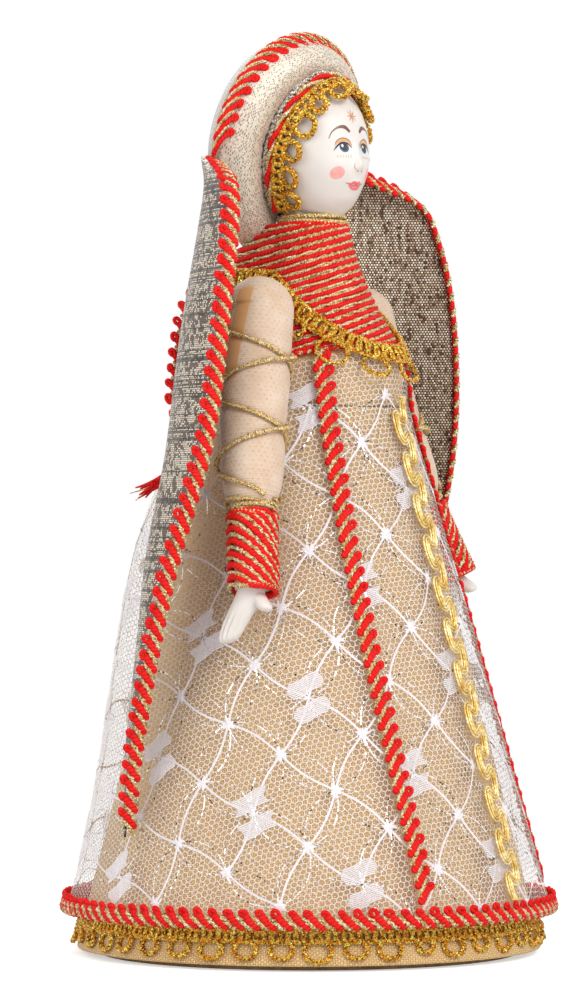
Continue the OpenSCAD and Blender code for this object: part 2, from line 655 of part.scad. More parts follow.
// Stations crowd towards the top of the leaf, where its outline turns most
function wing_share(i) = pow(i / wing_steps, 1.5);
wing_across = 5;
module wing(side) {
    function skin(t, out) = [for (k = [0 : wing_across])
        leaf_point(side, t, leaf_width(t) * k / wing_across) + leaf_normal(side, t) * out];
    function slice(t) =
        let (outer = skin(t, wing_t / 2), loop = concat(skin(t, -wing_t / 2), [
            for (k = [wing_across : -1 : 0]) outer[k]]))
        side < 0 ? loop : [for (k = [len(loop) - 1 : -1 : 0]) loop[k]];
    loft([for (i = [wing_steps : -1 : 0]) slice(wing_share(i))]);
}
module right_wing() { color("darkkhaki") wing(-1); }
module left_wing() { color("darkkhaki") wing(1); }

// Braid across the front edge of a wing, and flat on the inner face along its back edge
module wing_braid(side) {
    reach = braid_t / 2 + soft_gap;
    share = [for (i = [1 : wing_steps]) wing_share(i)];
    edge = [for (t = share) front_edge(side, t)];
    across = [for (i = [0 : len(share) - 1])
        let (d = inward(side, share[i]), t = tangent(edge, i)) unit(d - t * (d * t))];
    front_path = [for (i = [0 : len(share) - 1]) edge[i] - across[i] * (reach + 0.1)];
    loft(sweep_rings(front_path, across, strip_profile(braid_t, braid_w)));
    back_share = [for (i = [4 : wing_steps - 3]) wing_share(i)];
    back_path = [for (t = back_share)
        leaf_point(side, t, leaf_width(t) - braid_w / 2) - leaf_normal(side, t) * (reach + wing_t / 2 + 0.1)];
    loft(sweep_rings(back_path, [for (t = back_share) leaf_normal(side, t)], strip_profile(braid_t, braid_w)));
}
module right_wing_braid() { color("red") wing_braid(-1); }
module left_wing_braid() { color("red") wing_braid(1); }

// Arms, drawn for the right side. The arm's own frame hangs down -Z from the pivot, and the
// bend turns the forearm forward at the elbow.
elbow_s = 0.46 * arm_len;
cuff_s = arm_len - cuff_len;
cuff_cord_d = min(cuff_len / (cuff_turns + 1) - 0.5, 2.6);
sleeve_keys = [
    [0, sleeve_r], [0.25 * cuff_s, sleeve_r], [0.6 * cuff_s, sleeve_r - 0.5], [0.86 * cuff_s, sleeve_r - 1],
    [0.95 * cuff_s, sleeve_r - 1.9], [cuff_s, wrist_r + 0.8], [cuff_s + 3, wrist_r], [arm_len, wrist_r - 0.2]];
// Each arm leans out far enough for its cuff and lacing to clear the lace
function arm_y(side, bend, s) =
    pin_y(side) - s * sin(arm_forward) - pow(s / arm_len, 2) * (arm_len - elbow_s) * sin(bend);
skirt_cos = cos(atan((cone_foot_r - cone_waist_r) / cone_h));
function skirt_side(y, z) =
    let (r = over_lace(asin(y / lace_line(0, z)), z)) sqrt(r * r - y * y);
function lean_for(side, bend, s, reach) =
    asin((skirt_side(arm_y(side, bend, s), shoulder_z - s) + (reach + soft_gap) / skirt_cos - arm_pivot_x) / s);
lacing_reach = lacing_d + soft_gap;
function arm_lean(side, bend) = max(
    lean_for(side, bend, arm_len, wrist_r + cuff_cord_d + arm_clear),
    max([for (k = [0.4 : 0.1 : 1])
        lean_for(side, bend, k * cuff_s, curve(k * cuff_s, sleeve_keys, 1) + lacing_reach)]));
right_lean = arm_lean(-1, right_bend);
left_lean = arm_lean(1, left_bend);
echo(right_lean = right_lean, left_lean = left_lean);
module at_pivot() {
    translate([-arm_pivot_x, -shoulder_front, shoulder_z]) children();
}
module hang(lean) {
    rotate([-arm_forward, lean, 0]) children();
}
function forearm(bend) = [0, -sin(bend), -cos(bend)];
function wrist(bend) = [0, 0, -elbow_s] + (arm_len - elbow_s) * forearm(bend);
function arm_at(s, bend) = let (t = s / arm_len)
    t < 0 ? [0, 0, -s] : 2 * t * (1 - t) * [0, 0, -elbow_s] + t * t * wrist(bend);
function sleeve_at(s) = s < 0 ? sqrt(max(0.04, 1 - pow(s / sleeve_r, 2))) * sleeve_r : curve(s, sleeve_keys, 1);
wire_steps = 10;
function arm_line(from, to, bend, steps) = [for (i = [0 : steps]) arm_at(mix(from, to, i / steps), bend)];

sleeve_rows = 16;
cap_rows = 4;
hand_peg = 5;
module arm_sleeve(bend, lean) {
    stations = concat(
        [for (i = [0 : cap_rows - 1]) -0.98 * sleeve_r * cos(90 * i / cap_rows)],
        [for (i = [0 : sleeve_rows]) arm_len * i / sleeve_rows]);
    path = [for (s = stations) arm_at(s, bend)];
    bore = arm_line(0, arm_len + 1, bend, wire_steps);
    socket = arm_line(arm_len - hand_peg - soft_gap, arm_len + 1, bend, 2);
    at_pivot() difference() {
        hang(lean) loft([for (i = [0 : len(path) - 1])
            ring(path[i], tangent(path, i), [1, 0, 0], round_profile(sleeve_at(stations[i]), 20))]);
        hang(lean) cord(bore, [for (p = bore) [1, 0, 0]], wire_d + 4 * run_gap, 8);
        hang(lean) cord(socket, [for (p = socket) [1, 0, 0]], 2 * peg_r + 4 * seat_gap, 16);
        translate([-eye_w / 2 - stop_w - 1, 0, 0]) rotate([0, 90, 0])
            cylinder(r = eye_r + 4 * run_gap, h = sleeve_r + eye_w + stop_w + 2);
    }
}

// Gold cord laced down the sleeve and back up, crossing over itself on the front and the back
lacing_steps = 14;
lacing_top = 8;
lacing_low = cuff_s - 4;
function lacing_point(i, bend) =
    let (n = lacing_steps * lacing_turns, down = i <= n, k = down ? i : 2 * n - i)
    let (a = (down ? 1 : -1) * 360 * k / lacing_steps, s = mix(lacing_top, lacing_low, k / n) + (down ? 0 : 0.001))
    let (over = down || k == n ? 0 : (lacing_d + 0.55) * pow(cos(a), 4))
    let (r = sleeve_at(s) + lacing_d / 2 + soft_gap + over, t = bend * s / arm_len)
    arm_at(s, bend) + r * [sin(a), -cos(a) * cos(t), cos(a) * sin(t)];
function lacing_path(bend) = concat(
    [for (i = [1 : lacing_steps * lacing_turns - 1]) lacing_point(i, bend)],
    [for (i = [lacing_steps * lacing_turns + 1 : 2 * lacing_steps * lacing_turns - 1]) lacing_point(i, bend)]);
echo(lacing_least_gap = least_gap(lacing_path(0), lacing_d, 5));
module arm_lacing(bend, lean) {
    path = lacing_path(bend);
    at_pivot() hang(lean) cord(path, [for (p = path) p - arm_at(-p.z, bend)], lacing_d);
}

// Cuff: cord wound over the end of the sleeve
cuff_steps = 12;
function cuff_point(i, bend) =
    let (a = 360 * i / cuff_steps, s = mix(cuff_s + cuff_cord_d, arm_len - cuff_cord_d / 2, i / (cuff_steps * cuff_turns)))
    let (r = sleeve_at(s) + cuff_cord_d / 2 + soft_gap, t = bend * s / arm_len)
    arm_at(s, bend) + r * [sin(a), -cos(a) * cos(t), cos(a) * sin(t)];
function cuff_path(bend) = [for (i = [0 : cuff_steps * cuff_turns]) cuff_point(i, bend)];
echo(cuff_least_gap = least_gap(cuff_path(0), cuff_cord_d, floor(cuff_steps / 2)));
module arm_cuff_cord(bend, lean) {
    path = cuff_path(bend);
    at_pivot() hang(lean) cord(path, [for (p = path) p - arm_at(-p.z, bend)], cuff_cord_d);
}

// Wire with an eye that turns on the shoulder pin, and a straight end in the hand
hand_grip = 3;
module arm_wire(bend, lean) {
    line = arm_line(wire_r + run_gap + 0.4, arm_len - hand_peg + hand_grip, bend, wire_steps);
    at_pivot() {
        rotate([0, 90, 0]) difference() {
            cylinder(r = eye_r, h = eye_w - 2 * run_gap, center = true);
            cylinder(r = wire_r + run_gap, h = eye_w + 1, center = true);
        }
        hang(lean) difference() {
            cord(line, [for (p = line) [1, 0, 0]], wire_d, 8);
            rotate([0, 90 - lean, 0]) cylinder(r = wire_r + run_gap, h = 4 * eye_w, center = true);
        }
    }
}

// Porcelain hand: peg in the sleeve, palm and joined fingers that curve back, and a thumb
peg_r = 3.6;
palm_keys = [
    [0, peg_r, peg_r, 0], [0.2, 4, 3.3, 0.3], [0.42, 4.1, 2.7, 2.4], [0.66, 3.4, 2.2, 5.4],
    [0.88, 2.3, 1.6, 8], [1, 0.9, 0.7, 9.2]];
thumb_keys = [[0, 1.9], [0.5, 1.9], [0.85, 1.5], [1, 0.7]];
module porcelain_hand(bend, lean) {
    palm = [for (i = [-1 : 9]) let (h = max(0, i / 9), s = 0.999 * h)
        let (w = curve(s, palm_keys, 1), t = curve(s, palm_keys, 2), y = curve(s, palm_keys, 3))
        [for (k = [15 : -1 : 0]) let (a = 360 * k / 16)
            [t * cos(a), y + w * sin(a), i < 0 ? hand_peg : -hand_len * h]]];
    thumb = [for (i = [0 : 6]) let (s = 0.999 * i / 6, r = curve(s, thumb_keys, 1))
        [for (k = [9 : -1 : 0]) let (a = 360 * k / 10)
            [r * cos(a), -1.6 - 4.2 * s + r * sin(a), -0.12 * hand_len - 0.36 * hand_len * s]]];
    at_pivot() hang(lean) translate(wrist(bend)) rotate([-bend, 0, 0]) difference() {
        union() {
            loft(palm);
            loft(thumb);
        }
        translate([0, 0, hand_peg - hand_grip - seat_gap])
            cylinder(r = wire_r + 2 * run_gap, h = hand_grip + 1);
    }
}

module left() {
    translate([0, shoulder_front + shoulder_back, 0]) mirror([1, 0, 0]) children();
}
module right_sleeve() { color("bisque") arm_sleeve(right_bend, right_lean); }
module right_lacing() { color("gold") arm_lacing(right_bend, right_lean); }
module right_cuff_cord() { color("crimson") arm_cuff_cord(right_bend, right_lean); }
module right_arm_wire() { color("silver") arm_wire(right_bend, right_lean); }
module right_hand() { color("white") porcelain_hand(right_bend, right_lean); }
module left_sleeve() { color("bisque") left() arm_sleeve(left_bend, left_lean); }
module left_lacing() { color("gold") left() arm_lacing(left_bend, left_lean); }
module left_cuff_cord() { color("crimson") left() arm_cuff_cord(left_bend, left_lean); }
module left_arm_wire() { color("silver") left() arm_wire(left_bend, left_lean); }
module left_hand() { color("white") left() porcelain_hand(left_bend, left_lean); }

base_board();
skirt_cone();
stick_foot();
waist_plug();
core_stick();
underskirt();
lace_overskirt();
hem_braid();
foot_lace();
right_front_braid();
left_front_braid();
front_gimp();
bodice();
yoke_cord();
collar_lace();
neck_cord();
shoulder_pins();
head();
hair_lace();
head_cords();
headdress_board();
headdress_pad();
headdress_lining();
headdress_braid();
right_wing();
left_wing();
right_wing_braid();
left_wing_braid();
right_sleeve();
right_lacing();
right_cuff_cord();
right_arm_wire();
right_hand();
left_sleeve();
left_lacing();
left_cuff_cord();
left_arm_wire();
left_hand();
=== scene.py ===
"""Dressed porcelain doll in folk costume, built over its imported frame.

Shapes are worked out in millimetres in the frame's axes: the doll faces -Y, its right hand is on -X
and +Z is up. Angles round the doll are in radians, and its front is at -pi/2.
"""
import math

import bpy
import numpy as np
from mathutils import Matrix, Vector


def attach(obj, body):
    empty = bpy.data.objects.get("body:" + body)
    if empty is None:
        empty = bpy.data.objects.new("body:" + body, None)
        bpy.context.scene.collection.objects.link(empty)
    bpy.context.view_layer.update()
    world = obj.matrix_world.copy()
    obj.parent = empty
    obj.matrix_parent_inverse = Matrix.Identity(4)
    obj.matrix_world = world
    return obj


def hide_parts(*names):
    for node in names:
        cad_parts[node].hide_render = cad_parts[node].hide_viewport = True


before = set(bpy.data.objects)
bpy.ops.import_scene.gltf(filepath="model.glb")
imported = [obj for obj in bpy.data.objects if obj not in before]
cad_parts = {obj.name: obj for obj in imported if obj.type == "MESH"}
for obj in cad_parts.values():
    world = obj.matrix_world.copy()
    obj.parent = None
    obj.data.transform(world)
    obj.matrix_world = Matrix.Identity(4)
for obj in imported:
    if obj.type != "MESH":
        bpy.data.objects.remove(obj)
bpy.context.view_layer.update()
chance = np.random.default_rng(5)
MM = 0.001
TURN = 2 * math.pi
FRONT = -math.pi / 2


# Small array tools

def mix(a, b, t):
    """Straight blend from a to b at share t."""
    return a + (b - a) * t


def unit(v):
    """Vectors along the last axis, scaled to length one."""
    return v / np.maximum(np.linalg.norm(v, axis=-1, keepdims=True), 1e-9)


def points_of(x, y, z):
    """Three coordinate arrays, broadcast together into one array of points."""
    return np.stack(np.broadcast_arrays(x, y, z), axis=-1).astype(float)


def polar(a, r, z):
    """Points at angle a and radius r round the doll's axis, at height z."""
    return points_of(r * np.cos(a), r * np.sin(a), z)


def around(count):
    """Angles of one whole turn in equal steps."""
    return TURN * np.arange(count) / count


def through_keys(x, keys, column):
    """Smooth cubic through rows of keys: the slope at a key is that between its two neighbours."""
    keys = np.asarray(keys, float)
    place, value = keys[:, 0], keys[:, column]
    row = np.arange(len(keys))
    before, after = np.maximum(row - 1, 0), np.minimum(row + 1, len(keys) - 1)
    slope = (value[after] - value[before]) / (place[after] - place[before])
    i = np.clip(np.searchsorted(place, x, side="right") - 1, 0, len(keys) - 2)
    h = place[i + 1] - place[i]
    t = (x - place[i]) / h
    return (value[i] * (2 * t**3 - 3 * t**2 + 1) + slope[i] * h * (t**3 - 2 * t**2 + t)
            + value[i + 1] * (3 * t**2 - 2 * t**3) + slope[i + 1] * h * (t**3 - t**2))


def softly_above(x, low, soft):
    """x, held above low with a rounded corner."""
    return low + soft * np.logaddexp(0, (x - low) / soft)


def softly_below(x, high, soft):
    """x, held below high with a rounded corner."""
    return high - soft * np.logaddexp(0, (high - x) / soft)


def waves(a, b, seed, size):
    """Sum of five slow sine waves over two parameters, for the unevenness of hand work."""
    pick = np.random.default_rng(seed)
    total = 0
    for _ in range(5):
        fa, fb = pick.normal(0, 1.0 / size, 2)
        total = total + np.sin(fa * a + fb * b + pick.uniform(0, TURN)) / 5
    return total


# Shapes: points with faces in groups of equal corner count, and a UV for every corner

class Shape:
    """Points, lists of faces and the UV of their corners."""

    def __init__(self, points, faces, uv):
        self.points, self.faces, self.uv = points, faces, uv


def joined(*shapes):
    """One shape that holds all the given shapes."""
    start, faces, uv = 0, [], []
    for shape in shapes:
        faces += [f + start for f in shape.faces]
        uv += shape.uv
        start += len(shape.points)
    return Shape(np.concatenate([s.points for s in shapes]), faces, uv)


def grid_faces(rows, cols, close_rows=False, close_cols=False):
    """Corner indices of the quads of a grid, and the same corners counted without wrapping."""
    down = np.arange(rows if close_rows else rows - 1)
    over = np.arange(cols if close_cols else cols - 1)
    i, j = np.meshgrid(down, over, indexing="ij")
    r = np.stack([i, i, i + 1, i + 1], -1).reshape(-1, 4)
    c = np.stack([j, j + 1, j + 1, j], -1).reshape(-1, 4)
    corners = (r % rows) * cols + c % cols
    return corners, r, c


def surface(p, u=None, v=None, close_cols=False, flip=False, cap=False):
    """Skin over a grid of points: u runs along the columns and v along the rows, in millimetres."""
    rows, cols = p.shape[:2]
    corners, r, c = grid_faces(rows, cols, False, close_cols)
    u = np.arange(cols + 1.0) if u is None else np.append(u, 2 * u[-1] - u[-2])
    v = np.arange(rows + 1.0) if v is None else np.append(v, 2 * v[-1] - v[-2])
    uv = np.stack([u[c], v[r]], -1)
    faces, maps = [corners], [uv]
    if cap:
        first = np.arange(cols)[None, ::-1]
        last = (rows - 1) * cols + np.arange(cols)[None]
        faces += [first, last]
        maps += [np.zeros((1, cols, 2)), np.zeros((1, cols, 2))]
    if flip:
        faces = [f[:, ::-1] for f in faces]
        maps = [m[:, ::-1] for m in maps]
    return Shape(p.reshape(-1, 3), faces, maps)


def run_length(paths):
    """Distance along each path from its first point."""
    step = np.linalg.norm(np.diff(paths, axis=-2), axis=-1)
    return np.concatenate([np.zeros(step.shape[:-1] + (1,)), np.cumsum(step, axis=-1)], axis=-1)


def path_frames(paths, outward, closed=False):
    """Tangent, outward and sideways unit vectors along paths."""
    if closed:
        tangent = unit(np.roll(paths, -1, axis=-2) - np.roll(paths, 1, axis=-2))
    else:
        tangent = unit(np.gradient(paths, axis=-2))
    normal = unit(outward - tangent * np.sum(outward * tangent, -1, keepdims=True))
    return tangent, normal, np.cross(tangent, normal)


def tubes(paths, outward, radius, sides, flat=1.0, closed=False, rough=0.0):
    """Round or flattened yarn: an oval ring of points carried along every path. flat is its share of
    thickness along outward, and rough moves the points for loose fibres."""
    paths = np.asarray(paths, float)
    outward = np.broadcast_to(outward, paths.shape)
    count, n = paths.shape[:2]
    _, normal, side = path_frames(paths, outward, closed)
    a = around(sides)
    radius = np.broadcast_to(np.asarray(radius, float), (count, n))[..., None, None]
    ring = normal[:, :, None] * np.cos(a)[:, None] * flat + side[:, :, None] * np.sin(a)[:, None]
    p = paths[:, :, None] + radius * ring
    if rough:
        p = p + chance.normal(0, rough, p.shape)
    corners, r, c = grid_faces(n, sides, closed, True)
    start = np.arange(count)[:, None, None] * n * sides
    along = run_length(paths)
    along = np.concatenate([along, 2 * along[:, -1:] - along[:, -2:-1]], axis=1)
    uv = np.stack([np.broadcast_to(c / sides, (count,) + c.shape), along[:, r]], -1)
    faces, maps = [(corners[None] + start).reshape(-1, 4)], [uv.reshape(-1, 4, 2)]
    if not closed:
        first = start[:, :, 0] + np.arange(sides)[None, ::-1]
        last = start[:, :, 0] + (n - 1) * sides + np.arange(sides)[None]
        faces += [first, last]
        maps += [np.zeros((count, sides, 2)), np.zeros((count, sides, 2))]
    return Shape(p.reshape(-1, 3), faces, maps)


def twine(paths, outward, radius, lay, plies, sides, closed=False, rough=0.0):
    """Twisted cord: plies wind round every path once in each length of lay."""
    paths = np.asarray(paths, float)
    outward = np.broadcast_to(outward, paths.shape)
    _, normal, side = path_frames(paths, outward, closed)
    along = run_length(paths)
    if closed:
        whole = along[:, -1:] + np.linalg.norm(paths[:, :1] - paths[:, -1:], axis=-1)
        lay = whole / np.maximum(1, np.round(whole / lay))
    ply = []
    for k in range(plies):
        f = (TURN * along / lay + TURN * k / plies)[..., None]
        ply.append(paths + radius * 0.5 * (np.cos(f) * normal + np.sin(f) * side))
    return tubes(np.concatenate(ply), np.concatenate([outward] * plies), radius * 0.56, sides,
                 closed=closed, rough=rough)


def ribbons(paths, outward, width):
    """Flat threads: a strip of the given width along every path, facing outward."""
    paths = np.asarray(paths, float)
    _, _, side = path_frames(paths, np.broadcast_to(outward, paths.shape))
    width = np.broadcast_to(np.asarray(width, float), paths.shape[:2])[..., None]
    p = np.stack([paths + side * width / 2, paths - side * width / 2], axis=2)
    count, n = paths.shape[:2]
    corners, r, c = grid_faces(n, 2)
    start = np.arange(count)[:, None, None] * n * 2
    along = run_length(paths)
    uv = np.stack([np.broadcast_to(c + 0.0, (count,) + c.shape), along[:, r]], -1)
    return Shape(p.reshape(-1, 3), [(corners[None] + start).reshape(-1, 4)], [uv.reshape(-1, 4, 2)])


class Course:
    """A line that trim is laid along. place(s, y, h) is s along it, y to its side and h off it. For a
    line that runs anticlockwise round the doll and faces out, the side is up."""

    def __init__(self, path, outward, closed=False):
        self.closed = closed
        tangent, normal, _ = path_frames(path, outward, closed)
        if closed:
            path, tangent, normal = [np.concatenate([q, q[:1]]) for q in (path, tangent, normal)]
        self.path, self.normal, self.side = path, normal, np.cross(normal, tangent)
        self.s = run_length(path)
        self.length = self.s[-1]

    def at(self, rows, s):
        """Rows of the line, read at s."""
        s = np.mod(s, self.length) if self.closed else s
        return np.stack([np.interp(s, self.s, rows[:, k]) for k in range(3)], -1)

    def place(self, s, y, h):
        """Point at s along the line, y aside and h off it."""
        s, y, h = np.broadcast_arrays(s, y, h)
        return (self.at(self.path, s) + y[..., None] * unit(self.at(self.side, s))
                + h[..., None] * unit(self.at(self.normal, s)))

    def out(self, s):
        """The way off the line at s."""
        return unit(self.at(self.normal, s))


def make(name, shape, material, body="figure", smooth=True, *, stands_for=()):
    """Puts a shape into the scene as a piece that rides on a body."""
    mesh = bpy.data.meshes.new(name)
    faces = [row for group in shape.faces for row in group.tolist()]
    mesh.from_pydata((shape.points * MM).tolist(), [], faces)
    layer = mesh.uv_layers.new(name="UVMap")
    layer.data.foreach_set("uv", np.concatenate([m.reshape(-1, 2) for m in shape.uv]).ravel())
    mesh.polygons.foreach_set("use_smooth", np.full(len(mesh.polygons), smooth))
    mesh.materials.append(material)
    mesh.update()
    piece = bpy.data.objects.new(name, mesh)
    bpy.context.scene.collection.objects.link(piece)
    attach(piece, body)
    if stands_for:
        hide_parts(*stands_for)
    return piece


# Material tools

def colour(r, g, b):
    """Screen colour from 0 to 255, as the linear colour that a socket takes."""
    c = np.array([r, g, b]) / 255
    linear = np.where(c <= 0.04045, c / 12.92, ((c + 0.055) / 1.055) ** 2.4)
    return (*linear.tolist(), 1.0)


def put(tree, kind, sockets=None, **settings):
    """A node with its settings, and its sockets set or linked."""
    node = tree.nodes.new(kind)
    for key, value in settings.items():
        setattr(node, key, value)
    for key, value in (sockets or {}).items():
        if isinstance(value, Term):
            value = value.socket
        if isinstance(value, bpy.types.NodeSocket):
            tree.links.new(value, node.inputs[key])
        else:
            node.inputs[key].default_value = value
    return node


class Term:
    """A node's output, whose arithmetic adds Math nodes to its tree."""

    def __init__(self, socket):
        self.socket, self.tree = socket, socket.id_data

    def math(self, operation, other=0.0, clamp=False, first=None):
        """Math node of this term and another, or of another and this term where first is given."""
        sockets = {0: self, 1: other} if first is None else {0: first, 1: self}
        return term(self.tree, "ShaderNodeMath", sockets, operation=operation, use_clamp=clamp)

    def __add__(self, other):
        return self.math("ADD", other)

    def __sub__(self, other):
        return self.math("SUBTRACT", other)

    def __rsub__(self, other):
        return self.math("SUBTRACT", first=other)

    def __mul__(self, other):
        return self.math("MULTIPLY", other)

    def __truediv__(self, other):
        return self.math("DIVIDE", other)

    def __rtruediv__(self, other):
        return self.math("DIVIDE", first=other)

    def __mod__(self, other):
        return self.math("MODULO", other)

    def __pow__(self, other):
        return self.math("POWER", other)

    def __lt__(self, other):
        return self.math("LESS_THAN", other)

    def __gt__(self, other):
        return self.math("GREATER_THAN", other)

    def __abs__(self):
        return self.math("ABSOLUTE")


def term(tree, kind, sockets, output=0, **settings):
    """One output of a new node, as a term."""
    return Term(put(tree, kind, sockets, **settings).outputs[output])


def dyed(value):
    """A colour socket's value: a term as it is, or a screen colour."""
    return value if isinstance(value, Term) else colour(*value)


def blend(share, a, b):
    """Colour between a and b."""
    return term(share.tree, "ShaderNodeMix", {0: share, 6: dyed(a), 7: dyed(b)}, 2, data_type="RGBA")


def steps(share, *stops):
    """Colour ramp through stops of place and colour."""
    node = put(share.tree, "ShaderNodeValToRGB", {0: share})
    ramp = node.color_ramp
    while len(ramp.elements) < len(stops):
        ramp.elements.new(0.5)
    for element, (place, tint) in zip(ramp.elements, stops):
        element.position = place
        element.color = colour(*tint)
    return Term(node.outputs[0])


def bump(height, depth, strength, below=None):
    """Bump of the given depth in millimetres, over another bump."""
    sockets = {"Height": height, "Distance": depth * MM, "Strength": strength}
    if below is not None:
        sockets["Normal"] = below
    return term(height.tree, "ShaderNodeBump", sockets)


def noise(place, scale, detail):
    """Soft noise from 0 to 1."""
    return term(place.tree, "ShaderNodeTexNoise", {"Vector": place, "Scale": scale, "Detail": detail})


def drawn_lot(number):
    """A random number for each whole number."""
    return term(number.tree, "ShaderNodeTexWhiteNoise", {"W": number}, "Value", noise_dimensions="1D")


def group(name, inputs, outputs):
    """Empty node group with named sockets."""
    tree = bpy.data.node_groups.new(name, "ShaderNodeTree")
    for label, kind, value in inputs:
        tree.interface.new_socket(label, in_out="INPUT", socket_type=kind).default_value = value
    for label, kind in outputs:
        tree.interface.new_socket(label, in_out="OUTPUT", socket_type=kind)
    source = {socket.name: Term(socket) for socket in tree.nodes.new("NodeGroupInput").outputs}
    return tree, source, tree.nodes.new("NodeGroupOutput").inputs


def use(tree, kit, **sockets):
    """A node group placed in a material."""
    node = put(tree, "ShaderNodeGroup", sockets, node_tree=kit)
    return {socket.name: Term(socket) for socket in node.outputs}


def give(sockets, **terms):
    """Links terms to the sockets of those names."""
    for key, value in terms.items():
        value.tree.links.new(value.socket, sockets[key.replace("_", " ")])


def finish(name, **constants):
    """Material with a Principled shader, and its plain sockets set."""
    material = bpy.data.materials.new(name)
    material.use_nodes = True
    tree = material.node_tree
    shader = tree.nodes["Principled BSDF"]
    for key, value in constants.items():
        shader.inputs[key.replace("_", " ")].default_value = value
    return material, tree, shader.inputs


NUMBER, TINT = "NodeSocketFloat", "NodeSocketColor"
WHITE, BLACK = (1, 1, 1, 1), (0, 0, 0, 1)


def object_mm(tree):
    """Object coordinates in millimetres."""
    place = put(tree, "ShaderNodeTexCoord").outputs["Object"]
    return term(tree, "ShaderNodeVectorMath", {0: place, "Scale": 1 / MM}, operation="SCALE")


def map_mm(tree):
    """The piece's own UV map, which is in millimetres, split in two."""
    split = put(tree, "ShaderNodeSeparateXYZ", {0: put(tree, "ShaderNodeTexCoord").outputs["UV"]})
    return Term(split.outputs[0]), Term(split.outputs[1])


def ply_twist_group():
    """Slanting plies of a spun yarn: a ridge wave of u round the yarn and v along it."""
    tree, source, out = group("ply_twist", [("Lay", NUMBER, 1.6), ("Plies", NUMBER, 2.0)],
                              [("Ridge", NUMBER), ("Groove", NUMBER)])
    u, v = map_mm(tree)
    wave = ((v / source["Lay"] + u) * source["Plies"]).math("FRACT")
    ridge = (wave * math.pi).math("SINE")
    # Groove is the mask of the painted shade between the plies.
    give(out, Ridge=ridge, Groove=(1.0 - ridge) ** 2.0)
    return tree


def glitter_group():
    """Small flat facets of metal foil, each with a painted glint or painted shade picked at random,
    standing in for the foil's sparkle.
    """
    tree, source, out = group(
        "foil_glitter",
        [("Facet", NUMBER, 0.4), ("Light", TINT, WHITE), ("Middle", TINT, WHITE), ("Dark", TINT, BLACK)],
        [("Tint", TINT), ("Height", NUMBER)])
    place = term(tree, "ShaderNodeVectorMath", {0: object_mm(tree), "Scale": 1.0 / source["Facet"]},
                 operation="SCALE")
    cells = term(tree, "ShaderNodeTexVoronoi", {"Vector": place, "Scale": 1.0}, "Color")
    split = put(tree, "ShaderNodeSeparateColor", {0: cells})
    pick, tall = Term(split.outputs[0]), Term(split.outputs[1])
    # Facets with low numbers get painted shade between the dark and middle tints, and those with high
    # numbers a painted glint towards the light tint.
    low = blend(pick.math("MULTIPLY", 2.8, clamp=True), source["Dark"], source["Middle"])
    high = (pick - 0.56).math("MULTIPLY", 4.0, clamp=True)
    give(out, Tint=blend(high, low, source["Light"]), Height=tall + pick)
    return tree


def weave_group():
    """Plain weave on the UV map: rounded threads of warp and weft that pass over each other in turn."""
    tree, source, out = group("plain_weave", [("Warp", NUMBER, 0.5), ("Weft", NUMBER, 0.5)],
                              [("Height", NUMBER), ("Over", NUMBER), ("Gap", NUMBER)])
    u, v = map_mm(tree)
    wobble = (noise(object_mm(tree), 0.35, 2.0) - 0.5) * 0.9
    across = (u + wobble) / source["Warp"]
    along = (v + wobble) / source["Weft"]
    over = abs((across.math("FLOOR") + along.math("FLOOR")) % 2.0)
    warp = abs((across * math.pi).math("SINE"))
    weft = abs((along * math.pi).math("SINE"))
    give(out, Height=warp * over + weft * (1.0 - over), Over=over, Gap=(1.0 - warp * weft) ** 3.0)
    return tree


def mottle_group():
    """Slow and fine unevenness of dye and fibre, from 0 to 1."""
    tree, source, out = group("dye_mottle", [("Patch", NUMBER, 6.0), ("Fibre", NUMBER, 0.2)],
                              [("Patches", NUMBER), ("Fibres", NUMBER)])
    place = object_mm(tree)
    give(out, Patches=noise(place, 1.0 / source["Patch"], 3.0),
         Fibres=noise(place, 1.0 / source["Fibre"], 3.0))
    return tree


def speck_group():
    """A staggered grid of rounded specks. Spot falls from 1 in the middle of a cell to 0 at its edge, and
    Pick and Row are random numbers for the cell and for its row."""
    tree, source, out = group(
        "speck_grid",
        [("U", NUMBER, 0.0), ("V", NUMBER, 0.0), ("Wide", NUMBER, 0.8), ("Tall", NUMBER, 0.6)],
        [("Spot", NUMBER), ("Pick", NUMBER), ("Row", NUMBER)])
    y = source["V"] / source["Tall"]
    row = y.math("FLOOR")
    x = source["U"] / source["Wide"] + row * 0.5
    aside, above = [abs(q.math("FRACT") - 0.5) * 2.0 for q in (x, y)]
    cell = term(tree, "ShaderNodeCombineXYZ", {0: x.math("FLOOR"), 1: row})
    pick = term(tree, "ShaderNodeTexWhiteNoise", {"Vector": cell}, "Value", noise_dimensions="2D")
    give(out, Spot=1.0 - aside.math("MAXIMUM", above), Pick=pick, Row=drawn_lot(row))
    return tree


PLY_TWIST = ply_twist_group()
SPECKS = speck_group()
GLITTER = glitter_group()
WEAVE = weave_group()
MOTTLE = mottle_group()


# Finishes

def red_yarn_finish():
    """Soft scarlet rayon yarn, two plies, with painted shade in the grooves between them."""
    material, tree, shader = finish("scarlet_yarn", Roughness=0.75, Specular_IOR_Level=0.2)
    twist = use(tree, PLY_TWIST, Lay=2.2, Plies=2.0)
    dye = use(tree, MOTTLE, Patch=3.0, Fibre=0.16)
    body = steps(dye["Patches"], (0.3, (228, 20, 18)), (0.7, (246, 38, 32)))
    fibres = bump(dye["Fibres"], 0.12, 0.7)
    # The darker red blended in along the grooves is painted shade.
    give(shader, Base_Color=blend(twist["Groove"] * 0.6, body, (176, 8, 12)),
         Normal=bump(twist["Ridge"], 0.22, 0.8, fibres))
    return material


